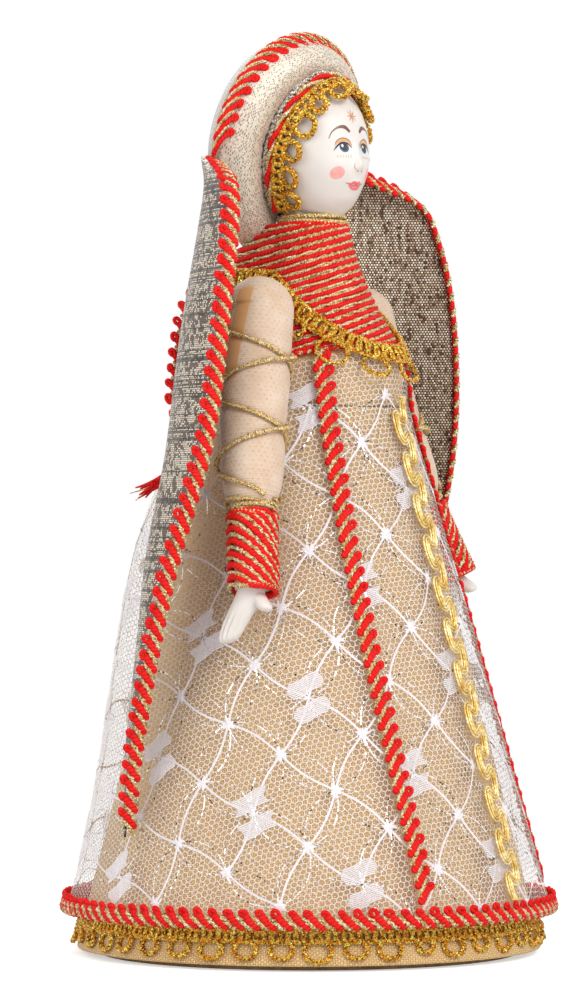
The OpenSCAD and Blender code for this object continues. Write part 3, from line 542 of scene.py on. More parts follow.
def foil_finish(name, light, middle, dark, facet, metal):
    """Cord wrapped in metal foil: facets with painted glints and painted shade over a slanting twist, and
    painted shade in its grooves.
    """
    material, tree, shader = finish(name, Metallic=metal, Roughness=0.3)
    foil = use(tree, GLITTER, Facet=facet, Light=dyed(light), Middle=dyed(middle), Dark=dyed(dark))
    twist = use(tree, PLY_TWIST, Lay=1.3, Plies=2.0)
    facets = bump(foil["Height"], 0.14, 0.8)
    # Painted shade of the dark tint in the twist's grooves, over the painted glints and shade of the
    # facets.
    give(shader, Base_Color=blend(twist["Groove"] * 0.6, foil["Tint"], dark),
         Normal=bump(twist["Ridge"], 0.16, 0.8, facets))
    return material


def gimp_finish():
    """Pale gold satin gimp: fine windings across the cord, with painted shade between them."""
    material, tree, shader = finish("pale_gold_gimp", Metallic=0.4, Roughness=0.3)
    twist = use(tree, PLY_TWIST, Lay=1.2, Plies=1.0)
    dye = use(tree, MOTTLE, Patch=2.0, Fibre=0.3)
    body = steps(dye["Patches"], (0.34, (208, 162, 76)), (0.5, (240, 208, 124)), (0.66, (255, 244, 192)))
    # The dark gold blended in along the grooves is painted shade.
    give(shader, Base_Color=blend(twist["Groove"] * 0.35, body, (146, 98, 28)),
         Normal=bump(twist["Ridge"], 0.06, 0.6))
    return material


def white_thread_finish(name, tint, shade, fibre):
    """White lace thread with fine twist."""
    material, tree, shader = finish(name, Roughness=0.6, Sheen_Weight=0.2)
    fibres = use(tree, MOTTLE, Patch=4.0, Fibre=fibre)["Fibres"]
    give(shader, Base_Color=steps(fibres, (0.35, shade), (0.65, tint)), Normal=bump(fibres, 0.1, 0.6))
    return material


def tulle_haze_finish():
    """The net's finest filaments, too thin to draw one by one: a faint white veil."""
    material, tree, shader = finish("tulle_haze", Roughness=0.7)
    dye = use(tree, MOTTLE, Patch=9.0, Fibre=0.9)
    give(shader, Base_Color=steps(dye["Patches"], (0.3, (236, 232, 236)), (0.7, (250, 248, 250))),
         Alpha=dye["Fibres"] * 0.07 + 0.02)
    return material


def painted_flash_strip_finish():
    """Flat silver foil strip: each dash gets, at random from its UV, a painted reflection from dark to
    white.
    """
    material, tree, shader = finish("silver_strip", Metallic=0.7, Roughness=0.25)
    dash = drawn_lot(map_mm(tree)[0].math("FLOOR"))
    # Dark, grey and white dashes are painted flashes of reflected shade and light.
    tint = steps(dash, (0.1, (60, 52, 48)), (0.22, (206, 204, 208)), (0.4, (254, 254, 255)))
    give(shader, Base_Color=tint)
    return material


def woven_finish(name, light, middle, dark, thread, rough=0.55, sheen=0.3):
    """Plain woven cloth: a painted highlight on the warp where it lies on top, and painted shade in the
    gaps between the threads.
    """
    material, tree, shader = finish(name, Roughness=rough, Sheen_Weight=sheen)
    cloth = use(tree, WEAVE, Warp=thread, Weft=thread)
    dye = use(tree, MOTTLE, Patch=12.0, Fibre=0.4)
    # The light tint is a painted highlight, and the dark tint is painted shade in the gaps and also the
    # tone of random darker patches.
    body = blend(cloth["Gap"] * 0.8, blend(cloth["Over"], middle, light), dark)
    fibres = bump(dye["Fibres"], 0.06, 0.5)
    give(shader, Base_Color=blend(dye["Patches"] * 0.22, body, dark),
         Normal=bump(cloth["Height"], 0.16, 0.9, fibres))
    return material


def sleeve_finish():
    """Cream satin-backed cloth: fine ribs, rows of rosy flecks, and a smooth tan stripe with a white
    ribbed edge down the back of the upper sleeve. u is the way round in turns, v the way down."""
    material, tree, shader = finish("sleeve_cloth", Roughness=0.5, Sheen_Weight=0.3)
    u, v = map_mm(tree)
    dye = use(tree, MOTTLE, Patch=7.0, Fibre=0.35)
    rib = abs((v * (math.pi / 0.62)).math("SINE"))
    row = v / 1.24
    dash = (u * 34.0 + row.math("FLOOR") % 2.0 * 0.5).math("FRACT") < 0.42
    line = row.math("FRACT") < 0.4
    fleck = dash * line * (dye["Fibres"] > 0.5)
    cream = steps(dye["Patches"], (0.3, (208, 178, 148)), (0.7, (226, 204, 182)))
    body = blend(fleck * 0.55, cream, (196, 128, 100))
    drift = u + v * 0.0022
    frayed = v + dye["Fibres"] * 5.0
    high = (frayed < 25.0) * (frayed > -1.5)
    stripe = (abs(drift - 0.755) < dye["Fibres"] * 0.012 + 0.034) * high
    band = (abs(drift - 0.69) < 0.03) * high
    dots = (drift * 70.0).math("FRACT") > 0.4
    ridge = band * dots * (rib > 0.5)
    body = blend(stripe.math("MAXIMUM", band), body, (212, 158, 104))
    fibres = bump(dye["Fibres"], 0.06, 0.5)
    give(shader, Base_Color=blend(ridge * 0.9, body, (248, 238, 222)),
         Normal=bump(rib * (1.0 - stripe), 0.1, 0.7, fibres))
    return material


def pad_finish():
    """Champagne lame on the padded headdress: pale woven foil with rows of short dark dashes."""
    material, tree, shader = finish("champagne_lame", Metallic=0.2, Roughness=0.42)
    u, v = map_mm(tree)
    dye = use(tree, MOTTLE, Patch=5.0, Fibre=0.4)
    wave = (dye["Patches"] - 0.5) * 2.4
    weave = use(tree, SPECKS, U=v + wave, V=u + wave, Wide=0.95, Tall=0.62)
    body = steps(dye["Fibres"], (0.3, (198, 180, 156)), (0.5, (222, 209, 190)), (0.72, (248, 240, 228)))
    dash = (weave["Spot"] > 0.42) * (weave["Pick"] > 0.5)
    crease = bump(dye["Patches"], 0.3, 0.4)
    give(shader, Base_Color=blend(dash * 0.8, body, (110, 92, 70)),
         Normal=bump(weave["Spot"], 0.08, 0.6, crease))
    return material


def on_wing(tree):
    """Place on a wing's face in millimetres: across it, alike on both wings, and up."""
    split = put(tree, "ShaderNodeSeparateXYZ", {0: object_mm(tree)})
    x, y, z = [Term(socket) for socket in split.outputs]
    return abs(x) * -0.67 + y * 0.74, z


def wing_outside_finish():
    """Silver lame with a dark ground that shows in patches, and dark threads drawn right across."""
    material, tree, shader = finish("silver_lame", Metallic=0.25, Roughness=0.4)
    u, v = on_wing(tree)
    dye = use(tree, MOTTLE, Patch=2.6, Fibre=0.7)
    weave = use(tree, SPECKS, U=u, V=v, Wide=0.7, Tall=0.55)
    lines = use(tree, SPECKS, U=u, V=v + dye["Patches"] * 0.9, Wide=60.0, Tall=0.4)
    worn = (dye["Patches"] - 0.44).math("MULTIPLY", 7.0, clamp=True)
    bare = weave["Pick"] < worn * 0.75 + 0.12
    foil = steps(weave["Pick"], (0.2, (216, 200, 174)), (0.8, (255, 247, 228)))
    thread = blend(weave["Spot"] > 0.28, (104, 82, 64), foil)
    body = blend(bare * 0.92, thread, (88, 66, 52))
    drawn = lines["Row"] > 0.8
    give(shader, Base_Color=blend(drawn * 0.8, body, (40, 32, 26)), Normal=bump(weave["Spot"], 0.12, 0.8))
    return material


def wing_inside_finish():
    """Dark cloth with a close grid of champagne foil dots, brighter and darker in upright streaks."""
    material, tree, shader = finish("dark_lame", Metallic=0.3, Roughness=0.4)
    u, v = on_wing(tree)
    weave = use(tree, SPECKS, U=u, V=v, Wide=0.82, Tall=0.7)
    streaks = noise(term(tree, "ShaderNodeCombineXYZ", {0: u * 0.8, 1: v * 0.2}), 1.0, 3.0)
    foil = steps(weave["Pick"] * 0.4 + streaks * 0.9,
                 (0.4, (92, 70, 52)), (0.58, (214, 186, 154)), (0.85, (255, 246, 226)))
    give(shader, Base_Color=blend(weave["Spot"] > 0.34, (62, 44, 32), foil),
         Normal=bump(weave["Spot"], 0.16, 0.9))
    return material


def porcelain_finish(name, tint, shade):
    """Bisque porcelain: matt, faintly uneven, a little warmer where the glaze is thin."""
    material, tree, shader = finish(name, Roughness=0.42, Specular_IOR_Level=0.35)
    dye = use(tree, MOTTLE, Patch=9.0, Fibre=0.25)
    give(shader, Base_Color=steps(dye["Patches"], (0.3, shade), (0.7, tint)),
         Normal=bump(dye["Fibres"], 0.015, 0.5))
    return material


def paint_finish(name, tint, edge):
    """Hand-laid china paint, thinner in patches."""
    material, tree, shader = finish(name, Roughness=0.4)
    dye = use(tree, MOTTLE, Patch=1.4, Fibre=0.2)
    give(shader, Base_Color=steps(dye["Patches"], (0.32, edge), (0.6, tint)))
    return material


def board_finish(name, tint, shade, grain, rough=0.75, metal=0.0):
    """Card, wood or wire: fine pits, drawn out along an axis where its grain number is small."""
    material, tree, shader = finish(name, Roughness=rough, Metallic=metal)
    pits = noise(term(tree, "ShaderNodeMapping", {0: object_mm(tree), "Scale": grain}), 1.0, 4.0)
    give(shader, Base_Color=steps(pits, (0.3, shade), (0.7, tint)), Normal=bump(pits, 0.1, 0.5))
    return material


RED = red_yarn_finish()
# Foil tints: light is the painted glint of a facet, and dark is its painted shade and the painted shade in
# the grooves.
BRAID_GOLD = foil_finish("braid_gold", (255, 250, 216), (226, 190, 116), (124, 84, 30), 0.42, 0.3)
DEEP_GOLD = foil_finish("deep_gold", (255, 238, 112), (232, 148, 0), (84, 40, 0), 0.44, 0.5)
CORD_GOLD = foil_finish("cord_gold", (255, 246, 196), (238, 194, 110), (150, 102, 38), 0.36, 0.3)
SILVER_CORD = foil_finish("silver_cord", (255, 253, 248), (222, 210, 190), (96, 76, 54), 0.5, 0.35)
GIMP = gimp_finish()
NET = white_thread_finish("net_thread", (238, 230, 227), (216, 205, 199), 0.3)
STITCH = white_thread_finish("white_stitches", (246, 242, 243), (218, 210, 214), 0.24)
HAZE = tulle_haze_finish()
SILVER = painted_flash_strip_finish()
# Woven cloths: light is a painted highlight on the warp, and dark is painted shade in the gaps and the tone
# of random darker patches.
BEIGE = woven_finish("beige_cloth", (240, 214, 160), (232, 190, 124), (192, 140, 80), 0.52, sheen=0.0)
SLEEVE = sleeve_finish()
PAD = pad_finish()
WING_OUT = wing_outside_finish()
WING_IN = wing_inside_finish()
LINING = woven_finish("white_lining", (244, 240, 234), (232, 226, 218), (190, 182, 172), 0.4, 0.45)
BISQUE = porcelain_finish("bisque_porcelain", (230, 224, 218), (222, 214, 206))
CARD = board_finish("grey_card", (206, 178, 138), (172, 142, 102), (0.4, 0.4, 0.4))
WOOD = board_finish("turned_wood", (214, 172, 118), (160, 112, 66), (2.0, 2.0, 0.15), 0.6)
STEEL = board_finish("steel_wire", (196, 196, 200), (150, 150, 156), (2.0, 2.0, 2.0), 0.35, 1.0)

for plain, nodes in ((CARD, ("base_board", "skirt_cone", "headdress_board")),
                     (WOOD, ("stick_foot", "waist_plug", "core_stick")),
                     (STEEL, ("shoulder_pins", "right_arm_wire", "left_arm_wire"))):
    for node in nodes:
        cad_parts[node].material_slots[0].material = plain


# Body lines, as in the frame

CONE_FOOT, CONE_WAIST, CONE_LOW, CONE_H, WAIST_Z, NECK_Z = 63.5, 26.0, 2.1, 148.0, 150.1, 201
LACE_HEM_Z, LACE_HEM_R, LACE_TOP_Z, LACE_LIE, LACE_T, FOLD = 12.0, 66.4916, 161.0, 0.95, 0.5, 0.8
TORSO = [[WAIST_Z, 26, 26, 26], [160.1, 23.4, 26.2, 23.4], [168.05, 21.45, 23.2, 21.4],
         [176, 19.5, 17.8, 19.5], [189.75, 13.835, 11.466, 16.925], [NECK_Z, 9.2, 9.2, 10.4]]


def cone_r(z):
    """Straight cone from the foot to the waist."""
    return CONE_FOOT + (CONE_WAIST - CONE_FOOT) * (z - CONE_LOW) / CONE_H


def torso_r(a, z):
    """Polar radius of an ellipse whose half width and reach are keyed by height."""
    reach = np.where(np.sin(a) < 0, through_keys(z, TORSO, 2), through_keys(z, TORSO, 3))
    return 1 / np.sqrt((np.cos(a) / through_keys(z, TORSO, 1)) ** 2 + (np.sin(a) / reach) ** 2)


def bust_r(a, z):
    """Radius of the dressed bust: the torso, and a smooth hump of padding behind the shoulders."""
    behind = np.mod(a, TURN) - math.pi / 2
    return torso_r(a, z) + 6 * np.exp(-((behind / 1.05) ** 4)) * np.exp(-(((z - 190) / 7.5) ** 2))


def lace_top(a):
    """Upper edge of the lace, higher in front."""
    return LACE_TOP_Z - 5 * np.sin(a)


def lace_line(a, z):
    """Lace radius without its folds, and the share of the way up: on the bodice above the waist,
    straight to the hem below, and fuller at the back by half a sine wave."""
    low = mix(LACE_HEM_R, CONE_WAIST + LACE_LIE, (z - LACE_HEM_Z) / (WAIST_Z - LACE_HEM_Z))
    high = torso_r(a, np.clip(z, WAIST_Z, NECK_Z)) + LACE_LIE
    run = np.clip((z - LACE_HEM_Z) / (lace_top(a) - LACE_HEM_Z), 0, 1)
    gather = 12 * ((1 + np.sin(a)) / 2) ** 3 * np.sin(math.pi * run**1.9)
    return np.where(z > WAIST_Z, high, low) + gather, run


def lace_r(a, z):
    """Lace radius with fourteen soft folds, deepest at mid height."""
    line, run = lace_line(a, z)
    return line + FOLD * (1 + np.cos(14 * a)) / 2 * np.sin(math.pi * run)


def over_lace(a, z):
    """Radius that clears the folds."""
    return lace_line(a, z)[0] + FOLD + LACE_T


# Braid, gold lace and gimp, laid along a course

BRAID_STEP, BRAID_REACH, SMOOTH_EDGE = 4.3, 4.3, -2.2


def braid(course, picot, lay, lift, reach, thick):
    """Close slanting pairs of a flat red yarn and a twisted gold cord that bend along the smooth edge.
    Each red yarn ends in a small loop on the picot side, lay is the way the pairs slant and reach is
    their length along the course. Returns the red and the gold."""
    room = course.length if course.closed else course.length - reach - 2.6
    count = max(2, round(room / BRAID_STEP))
    first, spare = (0, 0) if course.closed else (0.9, 1)
    k = np.arange(count + spare)[:, None] * room / count + first
    k = k + chance.normal(0, 0.1, k.shape)
    t = np.array([0, 0.04, 0.12, 0.3, 0.5, 0.7, 0.88, 1.0])[None]
    blunt = thick * np.sqrt(np.clip(1 - ((0.14 - np.minimum(t, 0.14)) / 0.15) ** 2, 0.05, 1))
    s = k + reach * (t if lay > 0 else 1 - t)
    y = t**1.5
    h = lift + 0.42 + 0.5 * np.sin(math.pi * t)
    red = tubes(course.place(s, picot * mix(SMOOTH_EDGE, 1.0, y), h), course.out(s), 1.08 * blunt, 7, 0.72)
    a = around(12)[None]
    long = chance.normal(0.8, 0.12, k.shape)
    wide = chance.normal(0.74, 0.14, k.shape)
    way = 1 if lay > 0 else -1
    s_loop = k + (reach + 0.3 if lay > 0 else -0.3) + long * np.cos(a) + 0.3 * way * np.sin(a)
    loop = course.place(s_loop, picot * (1.55 + wide * np.sin(a)), lift + 0.5 + 0.12 * np.sin(a))
    loops = tubes(loop, course.out(s_loop), 0.62, 6, closed=True)
    s_gold = s + BRAID_STEP * 0.5
    gold = twine(course.place(s_gold, picot * mix(SMOOTH_EDGE, 0.7, y), h + 0.2), course.out(s_gold),
                 0.86 * thick, 1.6, 2, 5)
    return joined(red, loops), gold


def braid_pieces(name, course, stands_for, picot, lay=1.0, lift=0.0, reach=BRAID_REACH, thick=1.0):
    """The red and the gold half of a braid as two pieces."""
    red, gold = braid(course, picot, lay, lift, reach, thick)
    return [make(name + "_red", red, RED, stands_for=stands_for),
            make(name + "_gold", gold, BRAID_GOLD, stands_for=stands_for)]


def gold_lace(course, pitch, header, loop, tube, coil, lift, stretch=1.06):
    """Gold lace: two rows of overlapping coils between edge cords, and round twisted loops under them.
    The coils span header[0] to header[1] across the course, and loop is the outer width of the loops,
    or one width for each."""
    low, high = header
    room = course.length
    count = round(room / pitch)
    k = (np.arange(count)[:, None] + 0.5) * room / count
    loop = np.broadcast_to(np.asarray(loop, float), (count,))[:, None]
    loop = loop * (1 + chance.normal(0, 0.06, (count, 1)))
    k = k + chance.normal(0, 0.35, (count, 1))
    f = around(26)[None]
    r = loop / 2 - tube
    s = k + stretch * r * np.cos(f)
    y = low - 0.78 * r + r * np.sin(f)
    tip = chance.normal(0, 0.35, (count, 1))
    rings = twine(course.place(s, y, lift + 0.3 * np.cos(f) + tip * np.sin(f)), course.out(s),
                  tube, 2.6, 2, 6, closed=True, rough=0.06)
    turns = round(room / coil)
    f = np.linspace(0, TURN * turns, turns * 14 + 1)
    middle, half = (low + high) / 2, (high - low) / 2 - 0.35
    centre = f / TURN * room / turns
    along = np.clip(centre + 0.55 * half * np.sin(f), 0, room)
    coils = []
    for way in (1, -1):
        across = middle + way * half * np.cos(f)
        coils.append(course.place(along, across, lift + 0.35 * way * np.sin(f / 2)))
    outs = np.stack([course.out(np.clip(centre, 0, room))] * 2)
    coiling = tubes(np.stack(coils), outs, 0.55, 6, rough=0.05)
    edge = np.linspace(0, room, int(room / 0.9))
    cords = np.stack([course.place(edge, low, lift + 0.2), course.place(edge, high, lift)])
    cording = twine(cords, np.stack([course.out(edge)] * 2), 0.62, 2.0, 2, 5, rough=0.05)
    return joined(rings, coiling, cording)


def ring_course(radius, z, rise=0.0):
    """Level circle round the doll, facing out and up by rise."""
    a = around(240)
    return Course(polar(a, radius, z), polar(a, 1.0, rise), closed=True)


# Skirt

def underskirt():
    """Cone with its hem turned under the foot: a profile of radius and height carried round the axis."""
    a = around(180)
    under = points_of(np.linspace(56.5, 63.6, 5), 0.0, 1.5)
    corner = points_of([63.95, 64.1], 0.0, [1.55, 1.75])
    z = np.linspace(2.4, WAIST_Z, 70)
    wall = points_of(cone_r(z) + 0.6, 0.0, z)
    profile = np.concatenate([under, corner, wall])
    wrinkle = 0.12 * waves(np.linspace(0, 40, len(profile))[:, None], 9 * np.cos(a)[None], 3, 3.0)
    r = profile[:, 0][:, None] + wrinkle * (profile[:, 2] > 3)[:, None]
    p = polar(a[None], r, profile[:, 2][:, None])
    length = run_length(profile)
    shape = surface(p, u=a * 45, v=length, close_cols=True)
    return make("underskirt_cloth", shape, BEIGE, stands_for=["underskirt"])


LACE_SINE, LACE_COSINE = 0.27528, 0.96137
LACE_REACH = LACE_HEM_R / LACE_SINE


def rolled(x, y):
    """Where a point of the flat lace, a ring sector round its own centre, comes to lie: its angle in the
    sector, its angle round the doll and its height. x is to the side of the front line and y is up."""
    turn = np.arctan2(x, -y)
    return turn, FRONT + turn / LACE_SINE, LACE_HEM_Z + (LACE_REACH - np.hypot(x, y)) * LACE_COSINE


def on_lace(x, y, lift):
    """Point of the flat lace rolled into the gathered overskirt, and its angle round the doll."""
    _, a, z = rolled(x, y)
    z = np.minimum(z, lace_top(a))
    return polar(a, lace_r(a, z) + LACE_T / 2 + lift, z), a


def in_lace(x, y, margin=0.4):
    """True inside the cut of the lace."""
    turn, a, z = rolled(x, y)
    return (np.abs(turn) < math.pi * LACE_SINE) & (z > LACE_HEM_Z + margin) & (z < lace_top(a) - margin)


def lace_veil():
    """The net as one continuous sheet, hem to upper edge."""
    a = around(168)
    t = np.linspace(0, 1, 48)[:, None]
    z = mix(LACE_HEM_Z, lace_top(a)[None], t)
    p = polar(a[None], lace_r(a[None], z) + LACE_T / 2, z)
    shape = surface(p, u=a * 45, v=t[:, 0] * 150, close_cols=True)
    return make("lace_veil", shape, HAZE, stands_for=["lace_overskirt"])


def net_threads():
    """Six-sided net: every corner of one half of a honeycomb joins three of the other half."""
    edge = 0.92
    wide, tall = edge * math.sqrt(3), edge * 1.5
    rows, cols = int(260 / tall), int(380 / wide)
    i, j = np.meshgrid(np.arange(-rows, 0), np.arange(-cols // 2, cols // 2), indexing="ij")
    x = (j + 0.5 * (i % 2)) * wide
    y = i * tall
    strips = []
    for dx, dy in ((0.0, edge), (wide / 2, -edge / 2), (-wide / 2, -edge / 2)):
        keep = in_lace(x, y) & in_lace(x + dx, y + dy)
        u = np.stack([x[keep], x[keep] + dx], -1)
        v = np.stack([y[keep], y[keep] + dy], -1)
        swung = (u + 0.12 * np.sin(1.7 * u + 0.6 * v), v + 0.12 * np.sin(0.9 * u - 1.3 * v))
        strips.append(np.stack(swung, -1))
    flat = np.concatenate(strips)
    along = unit(flat[:, 1] - flat[:, 0])
    half = 0.1 * np.stack([-along[:, 1], along[:, 0]], -1)
    corners = np.stack([flat[:, 0] + half, flat[:, 0] - half, flat[:, 1] - half, flat[:, 1] + half], 1)
    p, _ = on_lace(corners[..., 0], corners[..., 1], 0.12)
    index = np.arange(len(flat) * 4).reshape(-1, 4)
    uv = np.broadcast_to([[0, 0], [1, 0], [1, 1], [0, 1]], (len(flat), 4, 2))
    shape = Shape(p.reshape(-1, 3), [index], [uv])
    return make("lace_net", shape, NET)


LATTICE_X, LATTICE_Y = 11.25, 13.05
LATTICE_START = (-48.7, -146.4)


def lattice():
    """Corners of the embroidered diamonds: two slanting rows of steps, i and j, on the flat lace."""
    i, j = np.meshgrid(np.arange(-16, 20), np.arange(-16, 20), indexing="ij")
    x = LATTICE_START[0] + (i - j) * LATTICE_X
    y = LATTICE_START[1] - (i + j) * LATTICE_Y
    return i, j, x, y


def flat_ribbons(x, y, width, lift):
    """Threads drawn on the flat lace and laid on the skirt."""
    p, a = on_lace(x, y, lift)
    return ribbons(p, polar(a, 1.0, 0.0), width)


def embroidered_lines(i, j, x, y):
    """Lines from each corner to its two next ones, bowed by half a sine wave, and short dashes of silver
    strip that curl beside them. Returns the flat x and y of both."""
    t = np.linspace(0, 1, 9)
    f = (np.linspace(0.02, 0.98, 22)[:, None] + np.linspace(0, 1, 3) * 0.036)[None]
    lines, dashes = [], []
    for di, dj in ((1, 0), (0, 1)):
        x1 = x + (di - dj) * LATTICE_X
        y1 = y - (di + dj) * LATTICE_Y
        keep = in_lace(x, y) & in_lace(x1, y1)
        x0, y0, x2, y2 = [q[keep][:, None] for q in (x, y, x1, y1)]
        long = np.hypot(x2 - x0, y2 - y0)
        nx, ny = -(y2 - y0) / long, (x2 - x0) / long
        sign = np.where((i[keep] + j[keep]) % 2 == 0, 1.0, -1.0)[:, None]
        bow = 1.1 * sign * np.sin(math.pi * t)
        lines.append((mix(x0, x2, t) + nx * bow, mix(y0, y2, t) + ny * bow))
        for side in (-1.0, 1.0):
            wide = side * 3.6 * np.clip(np.sin(math.pi * f), 0, 1) ** 0.8
            u = mix(x0[..., None], x2[..., None], f) + nx[..., None] * wide
            v = mix(y0[..., None], y2[..., None], f) + ny[..., None] * wide
            pick = chance.uniform(size=u.shape[:2]) > 0.34
            dashes.append((u[pick], v[pick]))
    return [[np.concatenate(q) for q in zip(*rows)] for rows in (lines, dashes)]


def star_knots(x, y):
    """Uneven stars: discs whose radius swings seven times round, raised in the middle."""
    x, y = x[:, None, None], y[:, None, None]
    ring = np.array([0.02, 0.5, 1.0])[None, :, None]
    f = around(14)[None, None]
    uneven = 1 + 0.28 * np.cos(7 * f) * ring + 0.2 * np.sin(3 * f + x)
    stars, _ = on_lace(x + 1.55 * ring * uneven * np.cos(f), y + 1.75 * ring * uneven * np.sin(f),
                       0.5 - 0.28 * ring)
    return joined(*[surface(s, close_cols=True, flip=True) for s in stars])


def stitched_bows(x, y):
    """Pairs of bows, one above the other, each of nine threads that step up in the middle."""
    x, y = x[:, None, None, None], y[:, None, None, None]
    block = np.array([3.5, -3.5])[None, :, None, None]
    row = np.linspace(-2.5, 2.5, 9)[None, None, :, None]
    f = np.linspace(-1, 1, 6)[None, None, None]
    half = 4.6 + 0.6 * np.sin(9 * row + x)
    bars = np.broadcast_arrays(x + half * f, y + block + row * 0.82 + 0.75 * np.tanh(3 * f))
    u, v = [q.reshape(-1, f.size) for q in bars]
    return flat_ribbons(u, v, 0.36, 0.34)


def lace_embroidery():
    """Lines with silver strip, bows at every corner whose two steps are odd, and knots at the others."""
    i, j, x, y = lattice()
    lines, strips = embroidered_lines(i, j, x, y)
    keep = in_lace(x, y, 1.2)
    bows = keep & (i % 2 == 1) & (j % 2 == 1)
    knots = keep & ~bows
    stitches = joined(flat_ribbons(*lines, 0.6, 0.22), star_knots(x[knots], y[knots]),
                      stitched_bows(x[bows], y[bows]))
    white = make("lace_stitches", stitches, STITCH)
    dashes = flat_ribbons(*strips, 0.34, 0.3)
    # Each dash gets a whole-number UV step of its own, which picks its painted reflection.
    tag = np.repeat(np.arange(len(dashes.uv[0]) // 2), 2) * 3.0
    dashes.uv[0] = dashes.uv[0] * 0.2 + tag[:, None, None]
    silver = make("lace_silver", dashes, SILVER)
    return [white, silver]


def strip_course(hem_off, top_off, low, high, lift):
    """Line up the lace from low to high, whose angle off the front, in degrees, goes from hem_off to
    top_off, faster near the top."""
    t = np.linspace(0, 1, 160)
    z = mix(low, high, t)
    a = FRONT + np.radians(mix(hem_off, top_off, t**1.25))
    return Course(polar(a, over_lace(a, z) + lift, z), polar(a, 1.0, 0.0))


def front_gimp():
    """Scroll gimp: four satin cords side by side on a wave that folds back on itself."""
    course = strip_course(0, 0, 17, 153, 0.3)
    count = 12
    s = np.linspace(0, 1, count * 40)
    f = TURN * count * s
    along = course.length * s - 2.0 * np.sin(2 * f)
    across = 2.45 * np.sin(f)
    ds, dy = np.gradient(along), np.gradient(across)
    size = np.hypot(ds, dy)
    lanes = np.array([-1.26, -0.42, 0.42, 1.26])[:, None]
    p = course.place(np.clip(along - lanes * dy / size, 0, course.length), across + lanes * ds / size,
                     0.6 + 0.3 * np.cos(f) - 0.16 * lanes**2)
    shape = tubes(p, np.broadcast_to(course.out(along), p.shape), 0.32, 7)
    return make("front_gimp_cords", shape, GIMP, stands_for=["front_gimp"])


FOOT_LACE_Z = 6.6
skirt_cloth = underskirt()
veil = lace_veil()
lace_parts = [net_threads()] + lace_embroidery()
hem = ring_course(LACE_HEM_R + 0.6, 14.1)
lace_parts += braid_pieces("hem_braid", hem, picot=1.0, lay=-1.0, lift=0.1, stands_for=["hem_braid"])
foot = ring_course(cone_r(FOOT_LACE_Z) + 0.6, FOOT_LACE_Z, 0.26)
make("foot_lace_gold", gold_lace(foot, 9.6, (0.9, 4.2), 6.6, 0.85, 2.1, 0.9, 1.25), DEEP_GOLD,
     smooth=False, stands_for=["foot_lace"])
for name, hem_off, top_off, side in (("right_front_braid", -29, -50, -1), ("left_front_braid", 45, 46, 1)):
    line = strip_course(hem_off, top_off, 16.5, 165.2, 0.2)
    lace_parts += braid_pieces(name, line, picot=side, stands_for=[name])
lace_parts.append(front_gimp())


# Bodice

def bodice_form():
    """Padded bust: the torso's outline with small stuffing lumps."""
    a = around(120)
    z = np.linspace(WAIST_Z + 0.1, NECK_Z, 60)[:, None]
    r = bust_r(a[None], z) + 0.12 * waves(z, 14 * np.cos(a)[None], 11, 4.0)
    p = polar(a[None], r, z)
    shape = surface(p, u=a * 20, v=z[:, 0], close_cols=True, cap=True)
    piece = make("bodice_form", shape, BEIGE, stands_for=["bodice"])


YOKE_TURNS, YOKE_HIGH, YOKE_LOW = 22, 204.0, 155.0
YOKE_RISE = (0.27, -0.235)


def yoke_row(i, shift, lift):
    """Rows of the wound yoke: a spiral down the chest on a plane that rises to the front and to the left,
    held back softly at the lace and at the neck."""
    a = math.pi / 2 + TURN * i
    mid = mix(YOKE_HIGH, YOKE_LOW, i / YOKE_TURNS) + shift
    z = mid
    for _ in range(4):
        r = bust_r(a, np.clip(z, WAIST_Z, NECK_Z))
        z = mid + r * (YOKE_RISE[0] * np.cos(a) + YOKE_RISE[1] * np.sin(a))
    z = z + 0.16 * waves(a * 1.6, i, 51, 1.0)
    z = softly_above(z, lace_top(a) + 1.4, 0.6)
    z = softly_below(z, NECK_Z - 0.2, 0.6)
    return polar(a, bust_r(a, np.clip(z, WAIST_Z, NECK_Z)) + lift, z), polar(a, 1.0, 0.0)


def yoke():
    """Red yarn and twisted gold cord wound side by side."""
    i = np.linspace(0, YOKE_TURNS, YOKE_TURNS * 64)
    path, out = yoke_row(i, 0.5, 1.25)
    red = tubes(path[None], out[None], 0.74, 7)
    path, out = yoke_row(i, -0.6, 1.4)
    gold = twine(path[None], out[None], 0.68, 1.7, 2, 5)
    make("yoke_red", red, RED, stands_for=["yoke_cord"])
    make("yoke_gold", gold, BRAID_GOLD, stands_for=["yoke_cord"])


def collar_top(a):
    """Upper edge of the collar: low on the chest, high at the nape."""
    return 187.2 + np.where(np.sin(a) < 0, 20.2, 2) * np.sin(a)


def collar():
    """Scalloped gold lace over the lower rows of the yoke, with its largest loops in front."""
    a = around(240)
    z = collar_top(a) - 2.6
    lean = (bust_r(a, z - 1.5) - bust_r(a, z + 1.5)) / 3
    course = Course(polar(a, bust_r(a, z) + 1.9, z), polar(a, 1.0, lean), closed=True)
    count = round(course.length / 11.0)
    place = (np.arange(count) + 0.5) / count * course.length
    front = np.clip(-1.5 * np.sin(np.interp(place, course.s[:-1], a)), 0, 1)
    shape = gold_lace(course, 11.0, (-2.4, 2.4), mix(3.6, 8.0, front), 0.72, 2.6, 1.1)
    make("collar_gold", shape, DEEP_GOLD, smooth=False, stands_for=["collar_lace"])


def neck_ring():
    """Two thin gold cords wound under the chin."""
    a = around(140)
    rings = np.stack([polar(a, 8.7, 203.0 + 0 * a), polar(a, 9.4, 201.7 + 0.3 * np.sin(a))])
    rings[..., 1] -= 1.3
    shape = twine(rings, np.stack([polar(a, 1.0, 0.0)] * 2), 0.72, 1.9, 2, 6, closed=True)
    make("neck_ring_gold", shape, CORD_GOLD, stands_for=["neck_cord"])


bodice_form()
yoke()
collar()
neck_ring()


